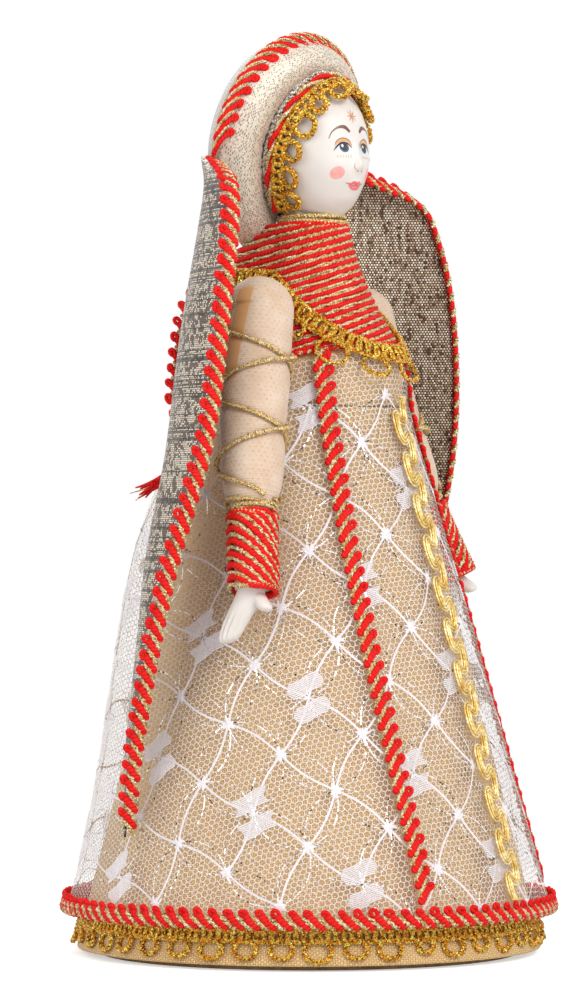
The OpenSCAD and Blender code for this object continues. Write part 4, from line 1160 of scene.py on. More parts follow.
# Head: the head frame turns a little to the right, and the crown frame also leans forward

HEAD_X, HEAD_Y, HEAD_H, HEAD_Z, HEAD_FORWARD = 13.6, 15.0, 19.5, 221.5, 2.8
HEAD_TURN, CROWN_TURN, CROWN_LEAN = math.radians(13), math.radians(9), math.radians(15)


def turned(p, turn, lean=0.0):
    """Points tipped forward by lean, turned to the right by turn, and set on the neck."""
    x, y, z = p[..., 0], p[..., 1], p[..., 2]
    y, z = y * math.cos(lean) - z * math.sin(lean), y * math.sin(lean) + z * math.cos(lean)
    return points_of(x * math.cos(turn) + y * math.sin(turn),
                     y * math.cos(turn) - x * math.sin(turn) - HEAD_FORWARD, z + HEAD_Z)


def in_crown(p):
    """Points of the crown frame, in the body's axes."""
    return turned(p, CROWN_TURN, CROWN_LEAN)


def crown_way(v):
    """A direction of the crown frame, in the body's axes."""
    return in_crown(v) - in_crown(np.zeros_like(v))


def hill(x, z, x0, z0, w, h):
    """Smooth bump of height one at x0, z0, with half widths w and h."""
    return np.exp(-((x - x0) / w) ** 2 - ((z - z0) / h) ** 2)


def face_relief(x, z):
    """How far the face stands out of the egg: brow, nose, lips, chin and cheeks, less the eye hollows."""
    nose = 1.25 * hill(x, z, 0, -4.7, 1.35, 1.9) + 0.7 * hill(x, z, 0, -1.6, 1.1, 3.2)
    wings = 0.3 * (hill(x, z, -1.2, -5.7, 0.8, 0.8) + hill(x, z, 1.2, -5.7, 0.8, 0.8))
    lips = 0.5 * hill(x, z, 0, -9.7, 2.0, 0.65) + 0.55 * hill(x, z, 0, -11.2, 1.7, 0.8)
    muzzle = 2.0 * hill(x, z, 0, -8.2, 5.4, 5.6)
    chin = 1.0 * hill(x, z, 0, -13.6, 3.4, 2.6)
    cheeks = 0.7 * (hill(x, z, 6, -6, 4, 4) + hill(x, z, -6, -6, 4, 4))
    eyes = -0.45 * (hill(x, z, 3.7, 0.6, 2.2, 1.7) + hill(x, z, -3.7, 0.6, 2.2, 1.7))
    return nose + wings + lips + muzzle + chin + cheeks + eyes


def egg_share(e):
    """Share of the head's width at height angle e: round above, with a full jaw below."""
    return np.cos(e) ** (1 - 0.26 * np.clip(-np.sin(e) * 1.4, 0, 1))


def half_width(e):
    """Half width of the head at height angle e, narrower at the jaw."""
    return HEAD_X * egg_share(e) * (1 - 0.1 * np.maximum(0, -np.sin(e)) ** 2)


def head_skin(a, e):
    """Egg at angle a and height angle e, with the face on its front."""
    s = egg_share(e)
    x, y, z = half_width(e) * np.cos(a), HEAD_Y * s * np.sin(a), HEAD_H * np.sin(e)
    front = np.maximum(0, -np.sin(a))
    return points_of(x, y - face_relief(x, z) * front * s, z)


def on_face(x, z, lift):
    """Point of the face skin straight behind x and z, raised by lift."""
    e = np.arcsin(np.clip(z / HEAD_H, -1, 1))
    s = egg_share(e)
    c = np.clip(x / half_width(e), -0.98, 0.98)
    front = np.sqrt(1 - c**2)
    y = -HEAD_Y * s * front - face_relief(x, z) * front * s
    out = unit(points_of(x / HEAD_X**2, y / HEAD_Y**2, z / HEAD_H**2))
    return turned(points_of(x, y, z) + lift * out, HEAD_TURN)


def head():
    """Porcelain head, the egg on a grid that is finer over the face, and a plain round neck."""
    turn = TURN * (np.linspace(0, 1, 200, endpoint=False) - 0.5)
    a = FRONT + turn - 0.62 * np.sin(turn)
    e = np.radians(np.linspace(-88, 88, 150))[:, None]
    skull = surface(turned(head_skin(a[None], e), HEAD_TURN), close_cols=True, cap=True)
    ring = around(48)
    z = np.array([179.9, 188.0, 198.0, 202.0, 206.0, 209.0])[:, None]
    neck = surface(polar(ring[None], 7.3, z), close_cols=True, cap=True)
    make("head_porcelain", joined(skull, neck), BISQUE, stands_for=["head"])


def brush_stroke(points, widths, lift, count=24):
    """A painted stroke on the face: a smooth line through points with a keyed width."""
    t = np.linspace(0, 1, len(points))
    keys = np.column_stack([t, np.asarray(points, float), widths])
    f = np.linspace(0, 1, count)
    x, z, w = [through_keys(f, keys, k) for k in (1, 2, 3)]
    dx, dz = np.gradient(x), np.gradient(z)
    size = np.maximum(np.hypot(dx, dz), 1e-6)
    v = np.linspace(-0.5, 0.5, 4)[:, None]
    p = on_face(x - dz / size * w * v, z + dx / size * w * v, lift)
    return surface(p)


def dab(x, z, rx, rz, lift, turn=0.0):
    """A painted oval on the face."""
    ring = np.linspace(0.02, 1, 6)[:, None]
    f = around(28)[None]
    u, v = rx * ring * np.cos(f), rz * ring * np.sin(f)
    x = x + u * math.cos(turn) - v * math.sin(turn)
    z = z + u * math.sin(turn) + v * math.cos(turn)
    return surface(on_face(x, z, lift), close_cols=True, flip=True)


def almond(x, z, wide, high, low, lift):
    """Eye opening: an oval with a higher upper lid and pointed ends."""
    u = np.linspace(-1, 1, 25)[None]
    v = np.linspace(0, 1, 7)[:, None]
    top = high * (1 - np.abs(u) ** 2.2)
    bottom = -low * (1 - np.abs(u) ** 2.6)
    return surface(on_face(x + wide * u, z + mix(bottom, top, v), lift))


def iris_cut(x, z, r, roof, lift):
    """Iris: a disc whose top the lid cuts off."""
    ring = np.linspace(0.02, 1, 6)[:, None]
    f = around(32)[None]
    p = on_face(x + r * ring * np.cos(f), np.minimum(z + r * ring * np.sin(f), roof), lift)
    return surface(p, close_cols=True, flip=True)


EYE_X, EYE_Z, FLOWER_Z = 3.75, -0.2, 8.7


def painted_face():
    """Brows, lids, eyes, lashes, cheeks, nose marks, lips and a small flower on the brow."""
    white, lids, iris, dark, glint, brow, tan, blush, lips, crease = [[] for _ in range(10)]
    for m in (-1, 1):
        x = m * EYE_X
        white.append(almond(x, EYE_Z - 0.1, 2.15, 1.35, 1.35, 0.05))
        lids.append(brush_stroke([(x + m * 2.6, 0.1), (x + m * 1.75, 1.4), (x, 1.85), (x - m * 1.6, 1.2),
                                  (x - m * 2.2, 0.1)], [0.2, 0.95, 1.1, 0.9, 0.25], 0.035))
        iris.append(iris_cut(x, EYE_Z + 0.1, 1.36, EYE_Z + 1.2, 0.075))
        dark.append(dab(x, EYE_Z + 0.15, 0.98, 0.98, 0.1))
        dark.append(brush_stroke([(x + m * 2.9, -1.0), (x + m * 2.0, 0.15), (x + m * 0.9, 1.02), (x, 1.2),
                                  (x - m * 1.2, 0.9), (x - m * 2.15, -0.2)],
                                 [0.16, 0.42, 0.4, 0.36, 0.3, 0.12], 0.12))
        glint.append(dab(x - 0.45, EYE_Z + 0.55, 0.32, 0.42, 0.14))
        brow.append(brush_stroke([(x + m * 3.95, 2.2), (x + m * 3.0, 4.1), (x + m * 1.3, 5.35),
                                  (x - m * 0.5, 5.5), (x - m * 1.95, 4.2)],
                                 [0.16, 0.3, 0.62, 1.05, 0.7], 0.05))
        brow.append(brush_stroke([(x + m * 2.6, 0.6), (x + m * 1.6, 2.0), (x, 2.45), (x - m * 1.6, 1.8),
                                  (x - m * 2.3, 0.5)], [0.06, 0.18, 0.2, 0.16, 0.06], 0.06))
        for k in range(6):
            lash = x + m * mix(2.0, -1.6, k / 5)
            tan.append(brush_stroke([(lash, -2.35), (lash + m * 0.12, -3.0)], [0.22, 0.1], 0.05, 5))
        blush.append(dab(m * 5.6, -7.1, 1.6, 1.75, 0.04))
        crease.append(brush_stroke([(m * 1.55, -4.4), (m * 1.7, -5.5), (m * 1.25, -6.25)],
                                   [0.05, 0.13, 0.1], 0.04, 10))
        crease.append(dab(m * 0.72, -6.55, 0.3, 0.16, 0.05, -m * 0.3))
        lips.append(brush_stroke([(m * 3.1, -9.75), (m * 1.8, -10.0), (m * 0.9, -9.72), (0, -10.05)],
                                 [0.12, 0.5, 0.95, 0.7], 0.05, 16))
    lips.append(brush_stroke([(-2.2, -10.5), (-1.1, -10.98), (0, -11.1), (1.1, -10.98), (2.2, -10.5)],
                             [0.2, 1.0, 1.25, 1.0, 0.2], 0.045))
    crease.append(brush_stroke([(-3.15, -9.8), (-1.2, -10.42), (0, -10.32), (1.2, -10.42), (3.15, -9.8)],
                               [0.06, 0.16, 0.14, 0.16, 0.06], 0.08))
    for f in around(8):
        x, z = math.cos(f), math.sin(f)
        ray = [(0.5 * x, FLOWER_Z + 0.5 * z), (1.75 * x, FLOWER_Z + 1.9 * z)]
        tan.append(brush_stroke(ray, [0.42, 0.14], 0.05, 6))
    tan.append(dab(0, FLOWER_Z, 0.45, 0.45, 0.055))
    for name, shapes, tint, edge in (
            ("eye_whites", white, (222, 232, 243), (198, 214, 232)),
            ("eye_lids", lids, (216, 160, 116), (226, 178, 138)),
            ("eye_irises", iris, (84, 92, 106), (64, 70, 82)),
            ("eye_pupils_and_lashes", dark, (26, 26, 30), (44, 42, 46)),
            ("eye_glints", glint, (252, 252, 254), (236, 240, 246)),
            ("brows", brow, (104, 66, 54), (128, 88, 74)),
            ("tan_marks", tan, (200, 134, 92), (218, 166, 126)),
            ("cheek_blush", blush, (243, 160, 154), (244, 176, 168)),
            ("lips", lips, (228, 104, 106), (236, 128, 126)),
            ("nose_and_lip_lines", crease, (164, 84, 78), (178, 104, 96))):
        make(name, joined(*shapes), paint_finish(name + "_paint", tint, edge))


def arch(a, y, lift):
    """Arch round the head at depth y, lift above its skin."""
    s = np.sqrt(1 - (y / HEAD_Y) ** 2)
    return points_of((HEAD_X * s + lift) * np.cos(a), y, (HEAD_H * s + lift) * np.sin(a))


def head_trims():
    """Gold lace round the face and, behind it, a red cord twisted with a gold one, and a pale cord."""
    a = np.radians(np.linspace(235, -55, 170))
    top = np.maximum(0, np.sin(a))
    out = points_of(np.cos(a), -0.25 - 0.2 * top, np.sin(a))
    course = Course(in_crown(arch(a, -0.3 - 3.8 * top, 1.4 - 0.7 * top)), crown_way(out))
    shape = gold_lace(course, 7.4, (-1.4, 1.7), 7.0, 1.0, 2.2, 0.8)
    make("hair_gold", shape, DEEP_GOLD, smooth=False, stands_for=["hair_lace"])
    out = crown_way(points_of(np.cos(a), 0.0, np.sin(a)))
    path = in_crown(arch(a, 2.6 - 3.3 * top, 2.6 - 0.9 * top))
    _, normal, side = path_frames(path, out)
    turn = (TURN * run_length(path) / 11.0)[:, None]
    swing = 0.62 * (np.cos(turn) * normal + np.sin(turn) * side)
    red = tubes((path + swing)[None], out[None], 0.72, 7)
    make("head_cord_red", red, RED, stands_for=["head_cords"])
    gold = tubes((path - swing)[None], out[None], 0.66, 7)
    make("head_cord_gold", gold, BRAID_GOLD, stands_for=["head_cords"])
    pale = twine(in_crown(arch(a, 4.7 - 2.6 * top, 2.6 - 0.6 * top))[None], out[None], 1.0, 3.0, 2, 6)
    make("head_cord_pale", pale, SILVER_CORD, stands_for=["head_cords"])


DRESS_X, DRESS_TOP, DRESS_LOW, DRESS_BACK, DRESS_ASIDE = 27.0, 29.5, 24.0, 9.8, 2.0
PAD_IN_Y, PAD_LIFT = 5.95, 3.4
PAD_IN_SHARE = math.sqrt(1 - (PAD_IN_Y / HEAD_Y) ** 2)
LINING_Y, LINING_DEEP, LINING_LOW = 11.95, 8.4, -22.0


def beside_head(a, lift, y):
    """Oval round the head, lift above its skin where the pad meets it, at depth y."""
    x, z = HEAD_X * PAD_IN_SHARE + lift, HEAD_H * PAD_IN_SHARE + lift
    return points_of(x * np.cos(a), y, z * np.sin(a))


def dress_outline(a, grow=0.0):
    """Outline of the headdress: an oval, shallower below than above."""
    tall = np.where(np.sin(a) > 0, DRESS_TOP, DRESS_LOW) + grow
    return (DRESS_X + grow) * np.cos(a) - DRESS_ASIDE, tall * np.sin(a)


def pad_face(a, t):
    """Crowned roll from the head, t = 0, out to the board's edge, t = 1, and past it at the nape."""
    x, z = dress_outline(a)
    z = z - 8.5 * np.clip(-np.sin(a), 0, 1) ** 1.5
    top = np.maximum(0, np.sin(a))
    inner = beside_head(a, PAD_LIFT - 1.3 * np.abs(np.sin(a)), PAD_IN_Y - 2.4 * top)
    p = mix(inner, points_of(x, DRESS_BACK, z), t[..., None])
    crown = np.sin(math.pi * t)
    p[..., 1] -= 4.4 * crown ** 0.85 * (1 - 0.35 * t)
    p[..., 0] += 1.6 * crown * np.cos(a)
    p[..., 2] += 1.6 * crown * np.sin(a)
    return p


def headdress_pad():
    """Padded roll with sine puckers that die away from the head, closed behind."""
    a = np.radians(np.linspace(-70, 250, 180))[:, None]
    t = np.linspace(0, 1, 26)[None]
    p = pad_face(a + 0 * t, t + 0 * a)
    pucker = 0.22 * np.sin(46 * a) * np.exp(-t / 0.16) + 0.3 * waves(a * 20, t * 14, 21, 4.0)
    p[..., 1] += pucker
    back = beside_head(a, PAD_LIFT, DRESS_BACK - 0.1)
    p = np.concatenate([p, mix(p[:, -1:], back, 0.5), back], axis=1)
    length = np.concatenate([np.linspace(0, 19, 26), [27.0, 33.0]])
    shape = surface(in_crown(p), u=length, v=a[:, 0] * 24, close_cols=True, flip=True, cap=True)
    pad = make("headdress_pad_face", shape, PAD, stands_for=["headdress_pad"])


def headdress_lining():
    """Lining behind the board, a shallow bowl with a turned rim."""
    a = around(140)[None]
    share = np.linspace(1, 0.02, 22)[:, None]
    x, z = dress_outline(a)
    z = np.maximum(z, LINING_LOW)
    depth = LINING_Y + LINING_DEEP * np.sqrt(1 - share**4)
    shape = surface(in_crown(points_of(x * share, depth, z * share)), u=a[0] * 22, v=share[:, 0] * 30,
                    close_cols=True, flip=True, cap=True)
    rows = [points_of(x[0] * 0.95, LINING_Y - 0.85, z[0] * 0.95), points_of(x[0], LINING_Y, z[0])]
    rim = surface(in_crown(np.stack(rows)), close_cols=True, flip=True)
    make("headdress_back", joined(shape, rim), LINING,
         stands_for=["headdress_lining"])


def headdress_rim():
    """Braid along the rim, from one lower end over the top to the other."""
    a = np.radians(np.linspace(195, -12, 160))
    x, z = dress_outline(a, 0.2 - 0.8 * np.maximum(0, np.sin(a)))
    outward = crown_way(points_of(np.cos(a), -0.8, np.sin(a)))
    course = Course(in_crown(points_of(x, DRESS_BACK - 1.0, z)), outward)
    braid_pieces("headdress_braid", course, picot=-1.0, reach=7.0, thick=0.66,
                 stands_for=["headdress_braid"])


head()
painted_face()
head_trims()
headdress_pad()
headdress_lining()
headdress_rim()


# Wings

WING_SPREAD, WING_W, WING_FORWARD, WING_TIP_Z, WING_TOP_Z = 66.5, 40.5, 10.4, 34.0, 214.5
LEAF = [[0, 0.1, 50], [0.05, 0.593, 48], [0.12, 0.889, 47], [0.25, 1, 48], [0.4, 0.963, 49],
        [0.57, 0.741, 48], [0.72, 0.444, 46], [0.86, 0.198, 46], [1, 0.04, 46]]
LEAF_COLS = 24


def wing_keys(side):
    """Front edge of a wing by its share of the way down."""
    low = math.radians(17)
    r = float(over_lace(low, WING_TIP_Z)) + 2.85
    tip = (side * r * math.cos(low), r * math.sin(low), WING_TIP_Z)
    top = in_crown(np.array([side * (DRESS_X - 0.5) - DRESS_ASIDE, 13.05, -6.0]))
    shares = np.array([0.02, 0.08, 0.215, 0.415, 0.625, 0.86])
    z = mix(WING_TOP_Z, WING_TIP_Z, shares)
    return [[0, *top], [0.05, side * WING_SPREAD * 0.7, -WING_FORWARD * 0.35, z[0]],
            [0.12, side * WING_SPREAD * 0.79, -WING_FORWARD * 0.83, z[1]],
            [0.25, side * WING_SPREAD * 0.889, -WING_FORWARD, z[2]],
            [0.45, side * WING_SPREAD * 0.956, -WING_FORWARD * 0.73, z[3]],
            [0.65, side * WING_SPREAD, WING_FORWARD * 0.3, z[4]],
            [0.85, side * mix(WING_SPREAD, abs(tip[0]), 0.55), mix(WING_FORWARD * 0.3, tip[1], 0.72), z[5]],
            [1, *tip]]


def leaf(side, t, share, lift=0.0):
    """Point of a wing, t of the way down, share of its width from the front edge and lift off its face,
    which bulges by half a sine wave. Also gives the ways across it and off it."""
    keys = wing_keys(side)
    edge = points_of(*[through_keys(t, keys, k) for k in (1, 2, 3)])
    turn = np.radians(through_keys(t, LEAF, 2))
    width = WING_W * through_keys(t, LEAF, 1)
    across = points_of(-side * np.cos(turn), np.sin(turn), 0.0)
    normal = points_of(side * np.sin(turn), np.cos(turn), 0.0)
    crown = 4 * np.sin(math.pi * share) * np.sin(math.pi * np.minimum(1, 0.15 + t))
    return edge + across * (width * share)[..., None] + normal * (crown + lift)[..., None], across, normal


def wing(side, name):
    """Stiff leaf with a pale outer face and a dark inner face, braided along both edges."""
    t = (np.linspace(0, 1, 110) ** 1.25)[:, None]
    share = np.linspace(0, 1, LEAF_COLS)[None]
    t2, share2 = np.broadcast_arrays(t, share)
    ripple = 0.35 * waves(t2 * 60, share2 * LEAF_COLS, 31 + side, 5.0)
    outer = leaf(side, t2, share2, ripple + 0.3)[0]
    inner = leaf(side, t2, share2, ripple - 0.3)[0]
    p = np.concatenate([outer, inner[:, ::-1]], axis=1)
    u = np.concatenate([share[0] * WING_W, WING_W + 1 + share[0] * WING_W])
    shape = surface(p, u=u, v=t[:, 0] * 190, close_cols=True, flip=side < 0, cap=True)
    panel = make(name + "_panel", shape, WING_OUT, stands_for=[name])
    panel.data.materials.append(WING_IN)
    inside = np.zeros(len(panel.data.polygons), np.int32)
    faces = (p.shape[0] - 1) * p.shape[1]
    inside[:faces] = np.tile(np.arange(p.shape[1]) >= LEAF_COLS, p.shape[0] - 1)
    panel.data.polygons.foreach_set("material_index", inside)
    trims = wing_braids(side, name)


def wing_braids(side, name):
    """Braid over the front edge of a wing, and braid on the inner face that turns over the back edge for
    a way."""
    t = mix(0.012, 0.995, np.linspace(0, 1, 220) ** 1.2)
    p, across, normal = leaf(side, t, np.zeros_like(t))
    tangent = unit(np.gradient(p, axis=0))
    way = unit(-across + tangent * np.sum(across * tangent, -1, keepdims=True))
    course = Course(p, way)
    outer_side = np.sign(np.sum(course.side[80] * normal[80]))
    trims = braid_pieces(name + "_braid_front", course, picot=outer_side, lay=-1.0, lift=-0.35,
                         stands_for=[name + "_braid"])
    t = np.linspace(0.125, 0.73, 190)
    wrap = np.exp(-(((t - 0.31) / 0.08) ** 4))
    share = 1 - 2.9 * (1 - wrap) / (WING_W * through_keys(t, LEAF, 1))
    p, across, normal = leaf(side, t, share, mix(-0.45, 0.3, wrap))
    course = Course(p, mix(-normal, across, wrap[:, None]))
    edge_side = np.sign(np.sum(course.side[150] * across[150]))
    return trims + braid_pieces(name + "_braid_back", course, picot=edge_side, lay=-1.0,
                                stands_for=[name + "_braid"])


def frayed_end():
    """Loose end of the back braid of the right wing: strands that spread from the edge."""
    p, _, normal = leaf(-1, np.array([0.5]), np.array([0.95]), -0.6)
    t = np.linspace(0, 1, 10)[None, :, None]
    away = np.array([-4.0, 6.2, -4.6])
    count = 14
    spread = chance.normal(0, 1, (count, 1, 3)) * np.array([0.9, 0.9, 1.2])
    strands = p[0] + away * t * chance.uniform(0.6, 1.1, (count, 1, 1)) + spread * t**1.6
    strands = strands + chance.normal(0, 0.35, (count, 1, 3))
    thick = mix(0.95, 0.2, t[..., 0])
    red = tubes(strands[:11], normal[0], thick, 5)
    gold = tubes(strands[11:], normal[0], 0.6 * thick, 5)
    make("right_wing_frayed_red", red, RED)
    make("right_wing_frayed_gold", gold, BRAID_GOLD)


wing(-1, "right_wing")
wing(1, "left_wing")
frayed_end()


# Arms, worked out for the right side in the arm's own frame, which hangs down from its pivot

ARM_PIVOT = (-33.0, -5.5, 176.0)
LEFT_BACK = 9.0
ARM_LEN, ELBOW, CUFF_S, CUFF_TURNS = 78.0, 35.88, 56.0, 9
ARM_FORWARD = math.radians(3)
ARM_OUT = {-1: math.radians(13.5867), 1: math.radians(16.4179)}
SLEEVE_R = 9.2
SLEEVE_KEYS = [[0, SLEEVE_R], [14, SLEEVE_R], [33.6, 8.7], [48.16, 8.2], [53.2, 7.3], [56, 6.0], [59, 5.2],
               [78, 5.0]]


def from_pivot(p, side):
    """Arm-frame points leaned forward and out, set at the pivot, and mirrored for the left arm."""
    x, y, z = p[..., 0], p[..., 1], p[..., 2]
    y, z = (y * math.cos(ARM_FORWARD) + z * math.sin(ARM_FORWARD),
            -y * math.sin(ARM_FORWARD) + z * math.cos(ARM_FORWARD))
    lean = ARM_OUT[side]
    x, z = x * math.cos(lean) + z * math.sin(lean), -x * math.sin(lean) + z * math.cos(lean)
    back = LEFT_BACK if side > 0 else 0.0
    return points_of(-side * (x + ARM_PIVOT[0]), y + ARM_PIVOT[1] + back, z + ARM_PIVOT[2])


def arm_line(s, bend):
    """Middle line of the arm: a curve from the pivot through the elbow's pull to the wrist."""
    t = np.maximum(s, 0) / ARM_LEN
    rest = ARM_LEN - ELBOW
    wrist_y, wrist_z = -rest * math.sin(bend), -ELBOW - rest * math.cos(bend)
    y = t * t * wrist_y
    z = -2 * t * (1 - t) * ELBOW + t * t * wrist_z
    return points_of(0.0 * s, y, np.where(s < 0, -s, z))


def sleeve_radius(s):
    """Keyed radius below the pivot, and a dome over the shoulder."""
    dome = np.sqrt(np.maximum(0.0004, 1 - (np.minimum(s, 0) / SLEEVE_R) ** 2)) * SLEEVE_R
    return np.where(s < 0, dome, through_keys(s, SLEEVE_KEYS, 1))


LACE_FROM, LACE_STEP = 15.5, 20.5


def lacing_height(f):
    """Heights at which the lacing crosses the angle f, in turns: on its way down and on its way up."""
    turns = [f - 1, f, f + 1, -f, 1 - f, 2 - f]
    return [LACE_FROM + LACE_STEP * turn for turn in turns]


def round_arm(s, a, r, bend):
    """Point at angle a round the arm, from its front, at distance r from the middle line."""
    tip = bend * np.maximum(s, 0) / ARM_LEN
    line = arm_line(s, bend)
    return line + points_of(r * np.sin(a), -r * np.cos(a) * np.cos(tip), r * np.cos(a) * np.sin(tip))


def on_arm(s, a, lift, side, bend):
    """Point at angle a round the dressed arm, lift above its sleeve, and the way out from the arm."""
    p = from_pivot(round_arm(s, a, sleeve_radius(s) + lift, bend), side)
    return p, unit(p - from_pivot(arm_line(s, bend), side))


def sleeve(side, bend, name, body):
    """Stuffed sleeve: rings round the arm's middle line that swell by half a sine wave down to the cuff,
    and are pinched in under the lacing."""
    dome = -SLEEVE_R * np.cos(np.linspace(0.02, 1, 18) * math.pi / 2)
    s = np.concatenate([dome, np.linspace(0.3, ARM_LEN, 150)])[:, None]
    f = (np.arange(96) / 96)[None]
    pinch = sum(np.exp(-((s - h) / 1.25) ** 2) for h in lacing_height(f))
    pull = np.minimum(pinch, 1.0) * (s > 0) * (s < 53)
    swell = 0.28 * np.clip(np.sin(math.pi * np.clip(s / CUFF_S, 0, 1)), 0, 1)
    lump = 0.22 * waves(s + 0 * f, 9 * np.cos(TURN * f) + 0 * s, 41, 4.0)
    r = sleeve_radius(s) + (swell + lump - 0.55 * pull) * np.clip((CUFF_S + 4 - s) / 6, 0, 1)
    p = from_pivot(round_arm(s + 0 * f, TURN * f, r, bend), side)
    shape = surface(p, u=f[0], v=s[:, 0], close_cols=True, flip=side > 0, cap=True)
    piece = make(name + "_sleeve_cloth", shape, SLEEVE, body,
                 stands_for=[name + "_sleeve"])


def lacing(side, bend, name, body):
    """Gold cord laced down the sleeve and back up, crossing over itself in front and behind."""
    f = np.linspace(-0.6, 1.92, 150)
    s = LACE_FROM + LACE_STEP * f
    over = 1.15 * np.cos(TURN * f) ** 4
    down, up = on_arm(s, TURN * f, 0.55, side, bend), on_arm(s, -TURN * f, 0.55 + over, side, bend)
    path, out = [np.stack(pair) for pair in zip(down, up)]
    make(name + "_lacing_gold", twine(path, out, 0.8, 2.0, 2, 6), CORD_GOLD, body,
         stands_for=[name + "_lacing"])


def cuff(side, bend, name, body):
    """Slantwise windings of red yarn and gold cord over the sleeve's end, under a few turns of gold."""
    i = np.linspace(0, CUFF_TURNS, CUFF_TURNS * 40)
    a = TURN * i
    rows = []
    for shift, lift, seed in ((-0.75, 1.15, 61), (0.9, 1.45, 62)):
        s = mix(54.5, 83.5, i / CUFF_TURNS) + shift + 5.8 * np.cos(a - 0.92)
        s = s + 0.75 * waves(a * 1.5, i * 2, seed, 1.2)
        s = softly_above(s, 59.2, 0.5)
        s = softly_below(s, 78.8, 0.5)
        path, out = on_arm(s, a, lift, side, bend)
        rows.append((path[None], out[None]))
    few = slice(0, 160)
    s = mix(55.2, 58.8, i[few] / 4) + 0.5 * np.sin(1.3 * a[few])
    path, out = on_arm(s, a[few], 0.75, side, bend)
    top = twine(path[None], out[None], 0.72, 1.9, 2, 5)
    cord = [name + "_cuff_cord"]
    make(name + "_cuff_red", tubes(*rows[0], 0.96, 6), RED, body, stands_for=cord)
    make(name + "_cuff_gold", twine(*rows[1], 0.78, 1.9, 2, 5), BRAID_GOLD, body,
         stands_for=cord)
    make(name + "_cuff_top", top, CORD_GOLD, body)


PALM = [[0, 3.8, 3.6, 0.6], [0.2, 4.4, 3.2, 1.7], [0.42, 4.2, 2.8, 4.0], [0.66, 3.8, 2.5, 6.3],
        [0.84, 3.4, 2.2, 7.7], [0.93, 2.8, 1.9, 8.3], [0.98, 1.8, 1.2, 8.6], [1, 0.5, 0.4, 8.7]]
THUMB = [[0, 2.1], [0.6, 2.15], [0.85, 1.9], [0.95, 1.35], [1, 0.5]]
HAND_LEN = 13.6


def hand(side, bend, name, body):
    """Porcelain hand: an oval carried down the palm and joined fingers, with grooves between the
    fingers, and a thumb."""
    h = np.linspace(0, 0.999, 60)[:, None]
    a = around(64)[None]
    w, t, y = [through_keys(h, PALM, k) for k in (1, 2, 3)]
    finger = np.clip((h - 0.42) / 0.2, 0, 1) * np.clip((1 - h) / 0.08, 0, 1)
    groove = sum(np.exp(-((np.sin(a) - c) / 0.1) ** 2) for c in (-0.5, 0.0, 0.5))
    t = t * (1 - 0.2 * finger * groove)
    palm = points_of(t * np.cos(a), y + w * np.sin(a), -HAND_LEN * h)
    peg = points_of(3.6 * np.cos(a), 3.6 * np.sin(a), 5.0)
    palm = surface(np.concatenate([peg, palm]), close_cols=True, flip=True, cap=True)
    h = np.linspace(0, 0.999, 24)[:, None]
    a = around(28)[None]
    r = through_keys(h, THUMB, 1)
    p = points_of(r * np.cos(a), -0.7 - 3.3 * h + r * np.sin(a), -HAND_LEN * (0.1 + 0.42 * h))
    both = joined(palm, surface(p, close_cols=True, flip=True, cap=True))
    x, y, z = both.points.T
    c, s = math.cos(bend), math.sin(bend)
    p = points_of(x, y * c + z * s, z * c - y * s)
    both.points = from_pivot(p + arm_line(np.array(ARM_LEN), bend), side)
    if side > 0:
        both.faces = [f[:, ::-1] for f in both.faces]
        both.uv = [m[:, ::-1] for m in both.uv]
    make(name + "_hand_porcelain", both, BISQUE, body, stands_for=[name + "_hand"])


for side, bend, name in ((-1, math.radians(8), "right"), (1, math.radians(18), "left")):
    for part in (sleeve, lacing, cuff, hand):
        part(side, bend, name, name + "_arm")


# Stage

CAMERA_WAY, CAMERA_FAR = (-0.839, -0.545), 1300
AIM, EYE_HEIGHT = (-2.34, 3.6, 124.8), 118.0


def surroundings():
    """White to the camera and to reflections, and a softer light on the doll."""
    world = bpy.data.worlds.new("studio")
    bpy.context.scene.world = world
    world.use_nodes = True
    tree = world.node_tree
    tree.nodes.clear()
    rays = put(tree, "ShaderNodeLightPath").outputs
    seen = Term(rays["Is Camera Ray"])
    seen = seen.math("MAXIMUM", rays["Is Glossy Ray"]).math("MAXIMUM", rays["Is Transmission Ray"])
    soft = term(tree, "ShaderNodeBackground", {"Color": WHITE, "Strength": 0.74})
    bright = term(tree, "ShaderNodeBackground", {"Color": WHITE, "Strength": 1.0})
    both = term(tree, "ShaderNodeMixShader", {0: seen, 1: soft, 2: bright})
    put(tree, "ShaderNodeOutputWorld", {0: both})


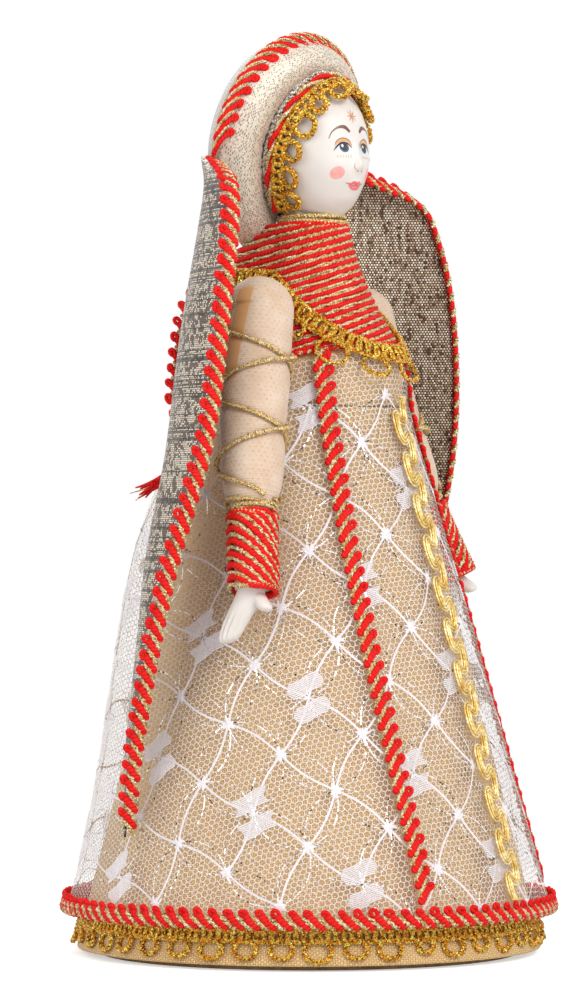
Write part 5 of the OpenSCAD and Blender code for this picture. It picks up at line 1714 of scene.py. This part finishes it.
def floor():
    """Matt floor that catches the doll's shadow and fades into white away from it."""
    material = bpy.data.materials.new("floor_white")
    material.use_nodes = True
    tree = material.node_tree
    tree.nodes.clear()
    seen = term(tree, "ShaderNodeLightPath", {}, "Is Camera Ray")
    place = put(tree, "ShaderNodeTexCoord").outputs["Object"]
    far = term(tree, "ShaderNodeVectorMath", {0: place}, "Value", operation="LENGTH")
    away = term(tree, "ShaderNodeMapRange", {0: far, 1: 0.12, 2: 0.4}, interpolation_type="SMOOTHSTEP")
    matt = term(tree, "ShaderNodeBsdfDiffuse", {"Color": (0.82, 0.82, 0.82, 1)})
    clear, lift, white = [term(tree, "ShaderNodeEmission", {"Color": WHITE, "Strength": strength})
                          for strength in (0.0, 0.52, 1.0)]
    chosen = term(tree, "ShaderNodeMixShader", {0: seen, 1: clear, 2: lift})
    near = term(tree, "ShaderNodeAddShader", {0: matt, 1: chosen})
    total = term(tree, "ShaderNodeMixShader", {0: seen * away, 1: near, 2: white})
    put(tree, "ShaderNodeOutputMaterial", {0: total})
    mesh = bpy.data.meshes.new("floor")
    half = 8
    corners = [(-half, -half, 0), (half, -half, 0), (half, half, 0), (-half, half, 0)]
    mesh.from_pydata(corners, [], [(0, 1, 2, 3)])
    mesh.materials.append(material)
    ground = bpy.data.objects.new("floor", mesh)
    bpy.context.scene.collection.objects.link(ground)


def lamps():
    """A broad key light from the doll's front, a fill from its right and a light from behind."""
    middle = Vector((0, 0, 0.13))
    for label, place, size, power in (("key", (-0.45, -1.0, 0.85), 0.6, 8.1),
                                      ("fill", (-1.0, 0.25, 0.6), 0.7, 2.4),
                                      ("back", (0.7, 0.7, 0.9), 0.7, 2.8)):
        lamp = bpy.data.lights.new(label, "AREA")
        lamp.shape = "DISK"
        lamp.size = size
        lamp.energy = power
        light = bpy.data.objects.new(label, lamp)
        bpy.context.scene.collection.objects.link(light)
        light.location = place
        light.rotation_euler = (middle - Vector(place)).to_track_quat("-Z", "Y").to_euler()


def camera():
    """Long lens at the photograph's angle, three quarters from the doll's right."""
    data = bpy.data.cameras.new("camera")
    data.lens = 169.0
    data.sensor_width = 36.0
    data.clip_end = 50.0
    eye = bpy.data.objects.new("camera", data)
    bpy.context.scene.collection.objects.link(eye)
    x, y = [way * CAMERA_FAR + start for way, start in zip(CAMERA_WAY, AIM)]
    eye.location = Vector((x, y, EYE_HEIGHT)) * MM
    eye.rotation_euler = (Vector(AIM) * MM - eye.location).to_track_quat("-Z", "Y").to_euler()
    bpy.context.scene.camera = eye


surroundings()
floor()
lamps()
camera()
bpy.context.scene.view_settings.view_transform = "Standard"
